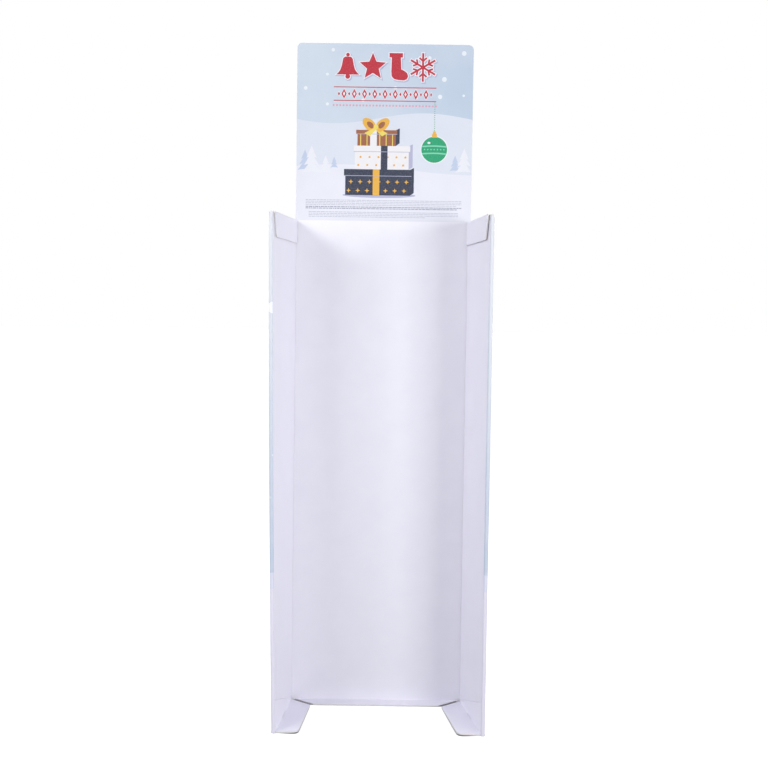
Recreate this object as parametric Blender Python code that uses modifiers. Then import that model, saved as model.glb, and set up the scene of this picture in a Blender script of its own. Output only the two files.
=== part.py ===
# Cardboard display stand: one sheet of corrugated board, cut and creased flat, then folded
# into a back panel with two hollow wings, and a header card taped behind its top edge.
# Metres, +Z up. The open front faces -Y and the stand rests on Z = 0.

import math

import bmesh
import bpy
from mathutils import Vector

# Board
BOARD = 0.003            # thickness of the folded sheet
CREASE = 0.0006          # inside radius of a pressed crease
CLEAR = 0.0005           # free gap between plies that face each other
NOTCH = 0.0008           # width of the relief slit at the end of a crease
RELIEF = 0.0006          # how far that slit runs past the crease

# Body, as it stands
BAY_WIDTH = 0.440        # between the wings, where they meet the back panel
BODY_HEIGHT = 1.250
WING_DEPTH = 0.262       # from the back panel to the front of the wing
WING_THICKNESS = 0.010   # over both plies
FLARE_TOP = math.radians(7.95)
FLARE_FLOOR = math.radians(6.0)
FLOOR_SWAY = 0.0085      # both wings' fronts stand this far to the right at the floor

# Flap folded over the top of each wing, left and right
FLAP_DROP = 0.060        # from the top of the wing down to the flap's lower edge
FLAP_SETBACK = 0.008     # from the wing's front to the flap, at the top
FLAP_RAKE = 0.019        # how much further back its lower corner is
FLAP_CORNER = 0.009
FLAP_STAND_OFF = {1: 0.0030, -1: 0.0012}   # how far the flap's front corner springs open

# Feet, folded in from the foot of each inner ply
FOOT_WIDTH = 0.056
FOOT_CORNER = 0.014
FOOT_LIFT = math.radians(4.0)              # the foot's free edge rises off the floor
MITRE_ANGLE = math.radians(41.0)           # between the mitre and the back panel
MITRE_GAP = 0.0055

# Flap folded forward from the foot of the back panel
BACK_FLAP_DEPTH = 0.044
BACK_FLAP_CORNER = 0.004

# Tab that locks each outer ply through a slot in the foot's crease
TAB_LENGTH = 0.036
TAB_CENTRE = 0.128       # from the back panel
SLOT_PLAY = 0.003        # at each end of the tab
SLOT_REACH = 0.0015      # how far the slot runs into the foot

# Line scored across each inner ply, from the back corner up to the front
SCORE_RISE = 0.081       # height of the line at the wing's front
SCORE_WIDTH = 0.0024
SCORE_DEPTH = 0.0005
SCORE_MARGIN = 0.004     # from the line's ends to the ply's edges

# Header card and the two strips of foam tape that hold it
HEADER_WIDTH = 0.450
HEADER_RISE = 0.450      # above the body
HEADER_SHIFT = 0.003     # the card was stuck on a little to the right
HEADER_LEG = 0.130       # behind the back panel
HEADER_BOARD = 0.003
HEADER_CORNER = 0.0125
TAPE_LENGTH = 0.400
TAPE_WIDTH = 0.025
TAPE_THICKNESS = 0.0008
TAPE_INSET = 0.018       # from the leg's lower edge and from the body's top edge
SEAT = 0.0003            # gap between pieces that touch

# Facets
FOLD_STEPS = 6
CORNER_STEPS = 8
PANEL_ROWS = 10

RIGHT, UP = Vector((1, 0, 0)), Vector((0, 0, 1))
INSIDE = Vector((0, -1, 0))                # the side of the flat sheet that ends up concave
SQUARE = math.pi / 2
FLARE = (FLARE_TOP + FLARE_FLOOR) / 2
OUTER_RADIUS = CREASE + BOARD


def tangent(radius, angle):
    """Distance from a fold's virtual corner to the start of its bend."""
    return radius * math.tan(angle / 2)


def place(across, height):
    """Point of the flat sheet."""
    return Vector((across, 0, height))


# Plan of one wing: "along" runs from the back panel to the front, on the inner ply's face
PLY_OFFSET = WING_THICKNESS - BOARD        # inner ply's face to the outer ply's inner face
BACK_CORNER = BAY_WIDTH / 2 + PLY_OFFSET / math.cos(FLARE)
BACK_FOLD = SQUARE - FLARE
OUTER_START = PLY_OFFSET * math.tan(FLARE) # where the outer ply leaves the back panel
FRONT_BEND = WING_DEPTH - BOARD - tangent(CREASE, SQUARE)
REAR_EDGE = (CLEAR + BOARD * math.sin(FLARE)) / math.cos(FLARE)

# The same places across the flat sheet, from its middle outwards
BACK_BEND = (BACK_CORNER - tangent(CREASE, BACK_FOLD), CREASE * BACK_FOLD)
OUTER_PLY = sum(BACK_BEND)
OUTER_BEND = (OUTER_PLY + FRONT_BEND - OUTER_START - tangent(CREASE, BACK_FOLD), CREASE * SQUARE)
SPINE_WIDTH = WING_THICKNESS - 2 * BOARD - 2 * tangent(CREASE, SQUARE)
INNER_BEND = (sum(OUTER_BEND) + SPINE_WIDTH, CREASE * SQUARE)
INNER_PLY = sum(INNER_BEND)
SHEET_EDGE = INNER_PLY + FRONT_BEND - REAR_EDGE

# Heights on the flat sheet
PLY_TOP = BODY_HEIGHT - BOARD - CLEAR      # spine and inner ply end under the flap
CAP_BEND = BODY_HEIGHT - BOARD - tangent(CREASE, SQUARE)
FLOOR_BEND = BOARD + tangent(CREASE, SQUARE)
FOOT_ANGLE = SQUARE + FOOT_LIFT
FOOT_BEND = OUTER_RADIUS


def flat_outer(along):
    """Place across the flat sheet of a point on the outer ply."""
    return OUTER_BEND[0] - (FRONT_BEND - along)


def flat_inner(along):
    """Place across the flat sheet of a point on the inner ply."""
    return INNER_PLY + (FRONT_BEND - along)


def below_bend(bend, radius, angle, reach):
    """Height on the flat sheet of a point that is reach beyond a fold's virtual corner."""
    return bend - radius * angle - (reach - tangent(radius, angle))


def rounded(points, radii):
    """Outline through the points, with the corners that have a radius turned into arcs."""
    outline = []
    for index, corner in enumerate(points):
        radius = radii.get(index, 0)
        if not radius:
            outline.append(corner)
            continue
        before = (points[index - 1] - corner).normalized()
        after = (points[(index + 1) % len(points)] - corner).normalized()
        half = before.angle(after) / 2
        centre = corner + (before + after).normalized() * radius / math.sin(half)
        start = corner + before * radius / math.tan(half) - centre
        end = corner + after * radius / math.tan(half) - centre
        turn = start.angle(end)
        for step in range(CORNER_STEPS + 1):
            part = step / CORNER_STEPS
            outline.append(centre + (start * math.sin((1 - part) * turn)
                                     + end * math.sin(part * turn)) / math.sin(turn))
    return outline


class TopFlap:
    """Place of the flap's second crease, which lies askew where the flap springs open."""

    def __init__(self, side):
        self.rear = OUTER_START + tangent(CREASE, BACK_FOLD) + 2 * NOTCH
        self.front = WING_DEPTH - FLAP_SETBACK
        reach = PLY_OFFSET + CLEAR - 2 * tangent(CREASE, SQUARE)
        cap_end = CAP_BEND + CREASE * SQUARE + reach
        self.corner = place(flat_outer(self.rear), cap_end)
        self.front_corner = place(flat_outer(self.front), cap_end + FLAP_STAND_OFF[side])
        self.line = (self.front_corner - self.corner).normalized()
        self.across = Vector((-self.line.z, 0, self.line.x))

    def point(self, along, drop):
        """Point of the flap, drop below the wing's top, on the flat sheet."""
        reach = CREASE * SQUARE - tangent(CREASE, SQUARE) + drop - BOARD
        return self.corner + self.line * (along - self.rear) + self.across * reach


def back_flap_outline():
    """From the middle of the sheet to the slit at the end of the back flap's crease."""
    hinge_end = BAY_WIDTH / 2 - MITRE_GAP / 2 / math.sin(MITRE_ANGLE)
    edge = below_bend(FLOOR_BEND, CREASE, SQUARE, BACK_FLAP_DEPTH)
    mitre_end = hinge_end - BACK_FLAP_DEPTH / math.tan(MITRE_ANGLE)
    points = [place(0, edge), place(mitre_end, edge),
              place(hinge_end, FLOOR_BEND - CREASE * SQUARE)]
    return rounded(points, {1: BACK_FLAP_CORNER}) + slit(hinge_end, FLOOR_BEND, 0)


def slit(across, bend, end_height):
    """Relief slit, cut up past a crease at one end of it and down again beside it."""
    top = bend + RELIEF
    return [place(across, top), place(across + NOTCH, top), place(across + NOTCH, end_height)]


def lock_tab_outline():
    """Tab at the foot of the outer ply, between two slits."""
    start = flat_outer(TAB_CENTRE - TAB_LENGTH / 2)
    end = flat_outer(TAB_CENTRE + TAB_LENGTH / 2)
    edge = below_bend(FLOOR_BEND, CREASE, SQUARE, PLY_OFFSET)
    left = [place(start - NOTCH, 0), place(start - NOTCH, FLOOR_BEND + RELIEF),
            place(start, FLOOR_BEND + RELIEF)]
    return left + [place(start, edge), place(end, edge)] + slit(end, FLOOR_BEND, 0)


def foot_outline():
    """Foot under the inner ply, from the slit beside the spine to the mitre at the back."""
    front = INNER_PLY + NOTCH
    edge = below_bend(FOOT_BEND, OUTER_RADIUS, FOOT_ANGLE, FOOT_WIDTH + BOARD)
    bend_end = FOOT_BEND - OUTER_RADIUS * FOOT_ANGLE
    slant = math.tan(MITRE_ANGLE - FLARE)
    mitre_start = MITRE_GAP / 2 / math.cos(MITRE_ANGLE - FLARE)
    mitre_end = mitre_start + FOOT_WIDTH * slant
    top = FOOT_BEND + RELIEF
    points = [place(INNER_PLY, 0), place(INNER_PLY, top), place(front, top),
              place(front, edge), place(flat_inner(mitre_end), edge),
              place(flat_inner(mitre_start), bend_end), place(flat_inner(mitre_start), top),
              place(SHEET_EDGE, top)]
    return rounded(points, {3: FOOT_CORNER})


def top_flap_outline(flap):
    """Flap on top of the outer ply, from its front slit round to its rear one."""
    front, rear = flat_outer(flap.front), flat_outer(flap.rear)
    slit_foot = CAP_BEND - RELIEF
    low_front = flap.point(flap.front - FLAP_RAKE, FLAP_DROP)
    low_rear = place(rear, flap.point(flap.rear, FLAP_DROP).z)
    points = [place(front + NOTCH, PLY_TOP), place(front + NOTCH, slit_foot),
              place(front, slit_foot), flap.front_corner, low_front, low_rear,
              place(rear, slit_foot), place(rear - NOTCH, slit_foot),
              place(rear - NOTCH, BODY_HEIGHT)]
    return rounded(points, {4: FLAP_CORNER})


def cut_blank(flap):
    """Half of the flat sheet, from its middle outwards, as one face that looks inside."""
    outline = back_flap_outline() + lock_tab_outline() + foot_outline()
    outline += [place(SHEET_EDGE, PLY_TOP)] + top_flap_outline(flap) + [place(0, BODY_HEIGHT)]
    blank = bmesh.new()
    face = blank.faces.new([blank.verts.new(point) for point in outline])
    face.normal_update()
    if face.normal.dot(INSIDE) < 0:
        face.normal_flip()
    return blank


EVERYWHERE = (-math.inf, math.inf)
TOUCH = 1e-6             # faces that overlap a span by less than this only touch it


def overlaps(values, span):
    return min(values) < span[1] - TOUCH and max(values) > span[0] + TOUCH


def cut_line(blank, point, across, span=EVERYWHERE, heights=EVERYWHERE):
    """Adds an edge along a line of the flat sheet, in the faces that reach into a region."""
    parts = set()
    for face in blank.faces:
        places = [vert.co for vert in face.verts]
        if overlaps([co.x for co in places], span) and overlaps([co.z for co in places], heights):
            parts.update([face, *face.edges, *face.verts])
    bmesh.ops.bisect_plane(blank, geom=list(parts), dist=TOUCH, plane_co=point, plane_no=across)


class Fold:
    """A crease on the flat sheet: everything beyond it, inside its span, turns about it."""

    def __init__(self, point, across, angle, radius, span, inward=True):
        self.point = point
        self.across = across
        self.angle = angle
        self.radius = radius
        self.span = span
        self.lift = INSIDE if inward else -INSIDE
        self.length = radius * angle

    def press(self, blank):
        """Cuts the facets of the bend into the flat sheet."""
        for step in range(FOLD_STEPS + 1):
            start = self.point + self.across * self.length * step / FOLD_STEPS
            cut_line(blank, start, self.across, self.span)

    def turn(self, flat):
        """Turns the corners of the sheet, given with the places that they had when flat."""
        for vert, home in flat.items():
            reach = (home - self.point).dot(self.across)
            if reach <= 0 or not self.span[0] < home.x < self.span[1]:
                continue
            bent = min(reach, self.length)
            angle = bent / self.radius
            outwards = self.across * math.cos(angle) + self.lift * math.sin(angle)
            inwards = self.lift * math.cos(angle) - self.across * math.sin(angle)
            step = vert.co - self.point
            stay = step - self.across * step.dot(self.across) - self.lift * step.dot(self.lift)
            curve = self.across * math.sin(angle) + self.lift * (1 - math.cos(angle))
            vert.co = (self.point + stay + curve * self.radius
                       + outwards * (step.dot(self.across) - bent)
                       + inwards * step.dot(self.lift))


def creases(flap):
    """All folds of half a sheet, in the order in which they are folded."""
    flap_span = (flat_outer(flap.rear) - NOTCH / 2, flat_outer(flap.front) + NOTCH / 2)
    hinge_end = BAY_WIDTH / 2 - MITRE_GAP / 2 / math.sin(MITRE_ANGLE)
    hang = Fold(flap.corner, flap.across, SQUARE, CREASE, flap_span)
    cap = Fold(place(0, CAP_BEND), UP, SQUARE, CREASE, flap_span)
    tab_span = (flat_outer(TAB_CENTRE - TAB_LENGTH / 2) - NOTCH / 2,
                flat_outer(TAB_CENTRE + TAB_LENGTH / 2) + NOTCH / 2)
    tab = Fold(place(0, FLOOR_BEND), -UP, SQUARE, CREASE, tab_span)
    foot = Fold(place(0, FOOT_BEND), -UP, FOOT_ANGLE, OUTER_RADIUS,
                (INNER_PLY + NOTCH / 2, math.inf), inward=False)
    back_flap = Fold(place(0, FLOOR_BEND), -UP, SQUARE, CREASE,
                     (-math.inf, hinge_end + NOTCH / 2))
    upright = [Fold(place(start, 0), RIGHT, length / CREASE, CREASE, (start, math.inf))
               for start, length in (INNER_BEND, OUTER_BEND, BACK_BEND)]
    return [hang, cap, tab, foot, back_flap] + upright


def punch_slot(blank):
    """Slot in the foot's crease, a little longer than the tab that comes through it."""
    low = below_bend(FOOT_BEND, OUTER_RADIUS, FOOT_ANGLE, BOARD + SLOT_REACH)
    high = FOOT_BEND + RELIEF
    start = flat_inner(TAB_CENTRE + TAB_LENGTH / 2 + SLOT_PLAY)
    end = flat_inner(TAB_CENTRE - TAB_LENGTH / 2 - SLOT_PLAY)
    ply = (INNER_PLY, math.inf)
    for height in (low, high):
        cut_line(blank, place(0, height), UP, ply)
    for across in (start, end):
        cut_line(blank, place(across, 0), RIGHT, ply, (low, high))
    middles = {face: face.calc_center_median() for face in blank.faces}
    inside = [face for face, middle in middles.items()
              if start < middle.x < end and low < middle.z < high]
    bmesh.ops.delete(blank, geom=inside, context="FACES")


def score_ply(blank):
    """Presses the shallow scored line into the inner ply."""
    front = place(INNER_PLY, SCORE_RISE)
    rear = place(SHEET_EDGE, FOOT_BEND + RELIEF + SCORE_WIDTH)
    line = (rear - front).normalized()
    across = Vector((-line.z, 0, line.x))
    ply, heights = (INNER_PLY, math.inf), (FOOT_BEND, SCORE_RISE)
    for part in (-0.5, 0, 0.5):
        cut_line(blank, front + across * SCORE_WIDTH * part, across, ply, heights)
    ends = (INNER_PLY + SCORE_MARGIN, SHEET_EDGE - SCORE_MARGIN)
    for end in ends:
        cut_line(blank, place(end, 0), RIGHT, ply, heights)
    for vert in blank.verts:
        on_line = abs((vert.co - front).dot(across)) < TOUCH
        if on_line and ends[0] - TOUCH < vert.co.x < ends[1] + TOUCH:
            vert.co += INSIDE * SCORE_DEPTH


def spread_wing(verts, side):
    """The wings stand further open at the top than at the floor, and have swayed there."""
    depth = WING_DEPTH * math.cos(FLARE)
    at_top = WING_DEPTH * (math.sin(FLARE_TOP) - math.sin(FLARE))
    at_floor = WING_DEPTH * (math.sin(FLARE_FLOOR) - math.sin(FLARE)) + FLOOR_SWAY * side
    for vert in verts:
        forward = max(0, -vert.co.y / depth) * min(1, vert.co.x / (BAY_WIDTH / 2))
        height = vert.co.z / BODY_HEIGHT
        vert.co.x += forward * (at_top * height + at_floor * (1 - height))


def folded_half(side):
    """One half of the sheet, cut, punched, creased and folded, for the right or the left."""
    flap = TopFlap(side)
    blank = cut_blank(flap)
    folds = creases(flap)
    for fold in reversed(folds):
        fold.press(blank)
    for row in range(1, PANEL_ROWS):
        cut_line(blank, place(0, BODY_HEIGHT * row / PANEL_ROWS), UP)
    punch_slot(blank)
    score_ply(blank)
    flat = {vert: vert.co.copy() for vert in blank.verts}
    for fold in folds:
        fold.turn(flat)
    spread_wing(blank.verts, side)
    if side < 0:
        bmesh.ops.scale(blank, vec=(-1, 1, 1), verts=blank.verts)
        bmesh.ops.reverse_faces(blank, faces=blank.faces)
    return blank


def board_material(name, colour, roughness):
    material = bpy.data.materials.new(name)
    material.use_nodes = True
    shader = material.node_tree.nodes["Principled BSDF"]
    shader.inputs["Base Color"].default_value = (*colour, 1)
    shader.inputs["Roughness"].default_value = roughness
    shader.inputs["Metallic"].default_value = 0
    material.diffuse_color = (*colour, 1)
    return material


def body_sheet(collection):
    """The folded sheet: both halves welded down the middle, given the board's thickness."""
    sheet = bmesh.new()
    for side in (1, -1):
        half = folded_half(side)
        piece = bpy.data.meshes.new("half")
        half.to_mesh(piece)
        half.free()
        sheet.from_mesh(piece)
        bpy.data.meshes.remove(piece)
    seam = [vert for vert in sheet.verts if abs(vert.co.x) < 1e-6]
    bmesh.ops.remove_doubles(sheet, verts=seam, dist=1e-5)
    mesh = bpy.data.meshes.new("body_sheet")
    sheet.to_mesh(mesh)
    sheet.free()
    body = bpy.data.objects.new("body_sheet", mesh)
    collection.objects.link(body)
    for material in (board_material("board_inside", (0.84, 0.84, 0.90), 0.55),
                     board_material("board_outside", (0.83, 0.83, 0.89), 0.45),
                     board_material("board_edge", (0.52, 0.40, 0.32), 0.85)):
        mesh.materials.append(material)
    thicken = body.modifiers.new("board", "SOLIDIFY")
    thicken.thickness = BOARD
    thicken.offset = -1
    thicken.use_even_offset = True
    thicken.material_offset = 1
    thicken.material_offset_rim = 2
    return body


def header_card(collection, back_face):
    """Printed card behind the back panel, rounded at its top corners."""
    half, low, high = HEADER_WIDTH / 2, BODY_HEIGHT - HEADER_LEG, BODY_HEIGHT + HEADER_RISE
    corners = [Vector((-half, low, 0)), Vector((half, low, 0)),
               Vector((half, high, 0)), Vector((-half, high, 0))]
    outline = rounded(corners, {2: HEADER_CORNER, 3: HEADER_CORNER})
    curve = bpy.data.curves.new("header_card", "CURVE")
    curve.dimensions = "2D"
    curve.fill_mode = "BOTH"
    curve.extrude = HEADER_BOARD / 2
    spline = curve.splines.new("POLY")
    spline.points.add(len(outline) - 1)
    for point, corner in zip(spline.points, outline):
        point.co = (corner.x, corner.y, 0, 1)
    spline.use_cyclic_u = True
    card = bpy.data.objects.new("header_card", curve)
    collection.objects.link(card)
    card.rotation_euler = (SQUARE, 0, 0)
    card.location = (HEADER_SHIFT, back_face + HEADER_BOARD / 2, 0)
    curve.materials.append(board_material("header_print", (0.70, 0.80, 0.90), 0.4))
    return card


def tape_strip(name, height, front_face, collection):
    """Strip of double-sided foam tape between the back panel and the header card."""
    mesh = bpy.data.meshes.new(name)
    strip = bmesh.new()
    bmesh.ops.create_cube(strip, size=1)
    bmesh.ops.scale(strip, vec=(TAPE_LENGTH, TAPE_THICKNESS, TAPE_WIDTH), verts=strip.verts)
    strip.to_mesh(mesh)
    strip.free()
    tape = bpy.data.objects.new(name, mesh)
    tape.location = (0, front_face + TAPE_THICKNESS / 2, height)
    mesh.materials.append(board_material(name, (0.90, 0.90, 0.88), 0.6))
    collection.objects.link(tape)
    return tape


def stand_on_origin(pieces, collection):
    """Moves all pieces by one empty, so that the origin is under the middle of the stand."""
    bpy.context.view_layer.update()
    evaluated = bpy.context.evaluated_depsgraph_get()
    corners = []
    for piece in pieces:
        shape = piece.evaluated_get(evaluated)
        corners += [piece.matrix_world @ vert.co for vert in shape.to_mesh().vertices]
        shape.to_mesh_clear()
    stand = bpy.data.objects.new("stand", None)
    collection.objects.link(stand)
    for axis in (0, 1):
        places = [corner[axis] for corner in corners]
        stand.location[axis] = -(min(places) + max(places)) / 2
    for piece in pieces:
        piece.parent = stand


def main():
    for item in list(bpy.data.objects):
        bpy.data.objects.remove(item, do_unlink=True)
    collection = bpy.data.collections.new("cardboard_display_stand")
    bpy.context.scene.collection.children.link(collection)

    body = body_sheet(collection)
    tape_face = BOARD + SEAT
    top_middle = BODY_HEIGHT - TAPE_INSET - TAPE_WIDTH / 2
    low_middle = BODY_HEIGHT - HEADER_LEG + TAPE_INSET + TAPE_WIDTH / 2
    tapes = [tape_strip("tape_upper", top_middle, tape_face, collection),
             tape_strip("tape_lower", low_middle, tape_face, collection)]
    card = header_card(collection, tape_face + TAPE_THICKNESS + SEAT)
    stand_on_origin([body, *tapes, card], collection)


main()
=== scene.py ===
# Looks of the cardboard display stand: the folded board with its liners and fluting, the printed
# header card, the foam tape, and a plain studio round them. Metres, +Z up, the open front faces -Y.

import math
import random

import bmesh
import bpy
import numpy as np
from bpy.props import FloatProperty, FloatVectorProperty, IntProperty, PointerProperty
from bpy.types import Operator, Panel, PropertyGroup
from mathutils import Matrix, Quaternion, Vector


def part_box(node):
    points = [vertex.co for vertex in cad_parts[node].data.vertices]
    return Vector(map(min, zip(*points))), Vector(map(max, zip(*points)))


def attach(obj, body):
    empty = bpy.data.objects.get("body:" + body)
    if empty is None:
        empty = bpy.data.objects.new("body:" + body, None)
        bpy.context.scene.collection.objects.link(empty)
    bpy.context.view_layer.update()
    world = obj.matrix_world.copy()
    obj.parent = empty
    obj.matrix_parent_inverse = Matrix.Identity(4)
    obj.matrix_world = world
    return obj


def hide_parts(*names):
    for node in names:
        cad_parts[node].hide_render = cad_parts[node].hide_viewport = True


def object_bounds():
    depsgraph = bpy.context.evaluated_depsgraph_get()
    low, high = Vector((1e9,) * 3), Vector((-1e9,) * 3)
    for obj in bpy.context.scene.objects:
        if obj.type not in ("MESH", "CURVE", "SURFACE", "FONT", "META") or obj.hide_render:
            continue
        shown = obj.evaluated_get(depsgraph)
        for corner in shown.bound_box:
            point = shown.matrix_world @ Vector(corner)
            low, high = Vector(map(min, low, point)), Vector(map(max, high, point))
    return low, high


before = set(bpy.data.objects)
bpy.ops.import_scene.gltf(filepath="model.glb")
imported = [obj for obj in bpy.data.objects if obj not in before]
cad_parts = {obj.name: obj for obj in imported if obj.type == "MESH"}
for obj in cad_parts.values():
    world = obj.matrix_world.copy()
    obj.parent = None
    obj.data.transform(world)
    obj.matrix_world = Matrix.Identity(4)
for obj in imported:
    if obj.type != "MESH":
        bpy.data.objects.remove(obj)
cad_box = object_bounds()

bl_info = {
    "name": "Cardboard Display Stand",
    "version": (1, 0, 0),
    "blender": (4, 5, 0),
    "location": "3D View > Sidebar > Display Stand",
    "description": "Folded corrugated floor stand with a printed header card",
    "category": "Add Mesh",
}

BODY = "root"
BODY_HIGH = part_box("body_sheet")[1]
CARD_LOW, CARD_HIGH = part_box("header_card")
CARD_MIDDLE = (CARD_LOW.x + CARD_HIGH.x) / 2
CARD_HALF = (CARD_HIGH.x - CARD_LOW.x) / 2
SQUARE, FULL_TURN = math.pi / 2, 2 * math.pi
RIGHT, UP = np.array((1.0, 0.0, 0.0)), np.array((0.0, 0.0, 1.0))
INSIDE = np.array((0.0, -1.0, 0.0))        # the side of the flat sheet that ends up concave
TOUCH = 1e-6                               # places nearer than this count as one
WELD = 1e-5                                # how near the two halves' seams lie to be welded
SMOOTH_BELOW = math.radians(32)            # edges that bend less than this are shaded smooth
SLANT = 0.002                              # a step of the outline this long both ways is a mitre
EVERYWHERE = (-math.inf, math.inf)

# Finishes: roughness, waves of each noise per metre, and reliefs in metres
COATED_ROUGHNESS, INK_ROUGHNESS = 0.44, 0.42
PAPER_ROUGHNESS, FOAM_ROUGHNESS, FLOOR_ROUGHNESS = 0.9, 0.8, 0.9
GRAIN_SCALE, MOTTLE_SCALE = 850.0, 17.0
FIBRE_SCALE, PATCH_SCALE = 2600.0, 140.0
PRESS_SCALE, CELL_SCALE = 320.0, 1400.0
GRAIN_RELIEF, FLUTE_RELIEF = 0.000008, 0.000006
MOST_NOISE = (0.3, 0.7)                    # nearly all values of a noise lie between these

# Print on the wings, in metres on the flat sheet
WING_SKY = (0.42, 1.20)                    # from the deepest sky up to the palest
CLOUD_SCALE, CLOUD_STRETCH = 7.0, 2.2
# Scale of each field of snow, where its dots start and end to fade, and how white they are
WING_SNOW = ((11.0, 0.10, 0.13, 1.0), (31.0, 0.10, 0.14, 0.7))
# Across, height and radius of each snow dot that has a place of its own
WING_DOTS = ((-0.498, 1.022, 0.016), (0.502, 1.036, 0.007), (-0.494, 0.672, 0.005))
WING_DOT_BLUR, WING_HILL_BLUR, CARD_HILL_BLUR = 0.001, 0.0006, 0.0004
# Crest, swell, width and phase of each hill
WING_FAR_HILL, WING_NEAR_HILL = (0.371, 0.030, 0.09, SQUARE), (0.379, 0.035, 0.13, SQUARE)

# Print on the header card: where its sky changes colour, the scale of the glow in it, and the
# width and phase of each hill
CARD_SKY, CARD_GLOW_SCALE = (-0.16, 0.20), 5.0
CARD_FAR_WAVE, CARD_NEAR_WAVE = (0.075, 0.2), (0.11, 2.6)
# Largest, smallest and nearest of the snow dots, and how far they stay from the edges and the hill
FLAKE_SIZE, FLAKE_LEAST, FLAKE_SPACING = 0.0125, 0.0060, 0.045
FLAKE_SIDE, FLAKE_TOP, FLAKE_FOOT = 0.012, 0.014, 0.02
# Size of the dots, and from one to the next, on the dotted line and on the bauble's string
LINE_DOT, LINE_SPACING = 0.0052, 0.0082
STRING_DOT, STRING_SPACING = 0.0024, 0.0052
# The string's ends: above the bauble's top, and below the garland's middle
STRING_FOOT, STRING_TOP = 0.016, 0.020
# Rim round the bauble; its bands, in shares of its radius: where they lie, their dip, the rise of
# their middle, their breadth, and how far they reach to the rim
BAUBLE_RIM, BAND_HEIGHTS = 0.0025, (-0.28, 0.28)
BAND_DIP, BAND_RISE, BAND_BREADTH, BAND_REACH = 0.10, 0.05, 0.11, 0.985
# Paper, ribbon, width, height and lean of each parcel, from the lowest up
PARCELS = (("navy", "gold", 0.166, 0.066, -0.004), ("cream", "navy", 0.138, 0.060, 0.006),
           ("brown", "cream", 0.098, 0.040, -0.008))
PARCEL_MIDDLE, BOW_SHIFT = -0.012, -0.010
# The side that shows at each parcel's right: its width, and how far its two far corners are up
SIDE_WIDTH, SIDE_LOW_RISE, SIDE_TOP_RISE = 0.010, 0.007, 0.005
PARCEL_SHADOW = (0.094, 36, 0.07)          # radius, steps, and height as a share of the width
RIBBON_WIDTH, LID_SHARE, LID_OVERHANG, LID_SHADOW = 0.017, 0.24, 0.007, 0.0014
STRIPES, STRIPE_WIDTH, MOTIF_ROWS = 6, 0.0022, 2
GARLAND_STEP, DIAMOND_HEIGHT, SMALL_DIAMOND = 0.0131, 0.0250, 0.42
RULE_OFFSETS, RULE_HEIGHT = (-0.0180, 0.0160), 0.0021
ICON_HALO, ICON_SHADE, SHADE_SHIFT = 0.0022, 0.0028, (0.0022, -0.0024)
# Across, foot, height and ink of each fir
FIRS = ((-0.203, 0.128, 0.052, "fir"), (-0.186, 0.121, 0.070, "near_snow"),
        (-0.150, 0.122, 0.044, "near_snow"), (0.182, 0.130, 0.040, "fir"),
        (0.205, 0.126, 0.062, "near_snow"), (-0.128, 0.135, 0.028, "fir"))
# Lower edge, upper edge and half width of each tier of a fir, as shares of its height
FIR_TIERS = ((0.0, 0.48, 0.36), (0.28, 0.74, 0.28), (0.54, 1.0, 0.19))
FIR_MARGIN, FIR_HOLLOW = 0.001, 0.05       # from the card's edge, and as a share of its height
# Top line, lines, half width, thickness and ink of each block of hairlines
HAIRLINES = ((0.0520, 4, 0.200, 0.0016, "small"), (0.0345, 2, 0.200, 0.0021, "small_dark"),
             (0.0215, 4, 0.192, 0.0016, "small"))
HAIRLINE_STEP, DASH_LENGTH, DASH_GAP, SHORTEST_DASH = 0.0040, (0.0030, 0.0110), 0.0014, 0.001

# Degrees to the right and above level, width and height, and the power setting of each soft box
LAMPS = {
    "left_lamp": (-40, 24, (1.1, 0.5), "left_power"),
    "left_side_lamp": (-58, 15, (0.8, 0.8), "left_side_power"),
    "right_lamp": (31, 4, (0.95, 0.9), "right_power"),
    "right_side_lamp": (57, 10, (1.1, 0.8), "right_side_power"),
    "top_lamp": (0, 45, (1.6, 0.7), "top_power"),
    "rear_left_lamp": (-140, 8, (1.2, 1.2), "rear_power"),
    "rear_right_lamp": (140, 8, (1.2, 1.2), "rear_power"),
}
LAMP_TARGET = (0, 0.1, 0.68)               # across, back, and share of the body's height
COVER_BLUR = 0.002                         # over which the floor under the back flap turns dark, as painted shadow


def length(name, description, default):
    return FloatProperty(name=name, description=description, default=default, precision=4,
                         unit="LENGTH")


def fraction(name, description, default):
    return FloatProperty(name=name, description=description, default=default, min=0, max=1,
                         subtype="FACTOR")


def power(name, default):
    return FloatProperty(name=name, description="Power in watts", default=default, min=0,
                         unit="POWER")


def counted(name, description, default, least=1):
    return IntProperty(name=name, description=description, default=default, min=least)


def angle(name, description, degrees):
    return FloatProperty(name=name, description=description, default=math.radians(degrees),
                         subtype="ANGLE")


def linear(red, green, blue):
    """Colour as the shaders use it, from its value on screen, 0 to 255."""
    def channel(value):
        share = value / 255
        return share / 12.92 if share <= 0.04045 else ((share + 0.055) / 1.055) ** 2.4
    return channel(red), channel(green), channel(blue)


def colour(name, description, red, green, blue):
    return FloatVectorProperty(name=name, description=description, default=linear(red, green, blue),
                               size=3, subtype="COLOR", min=0, max=1)


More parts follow.
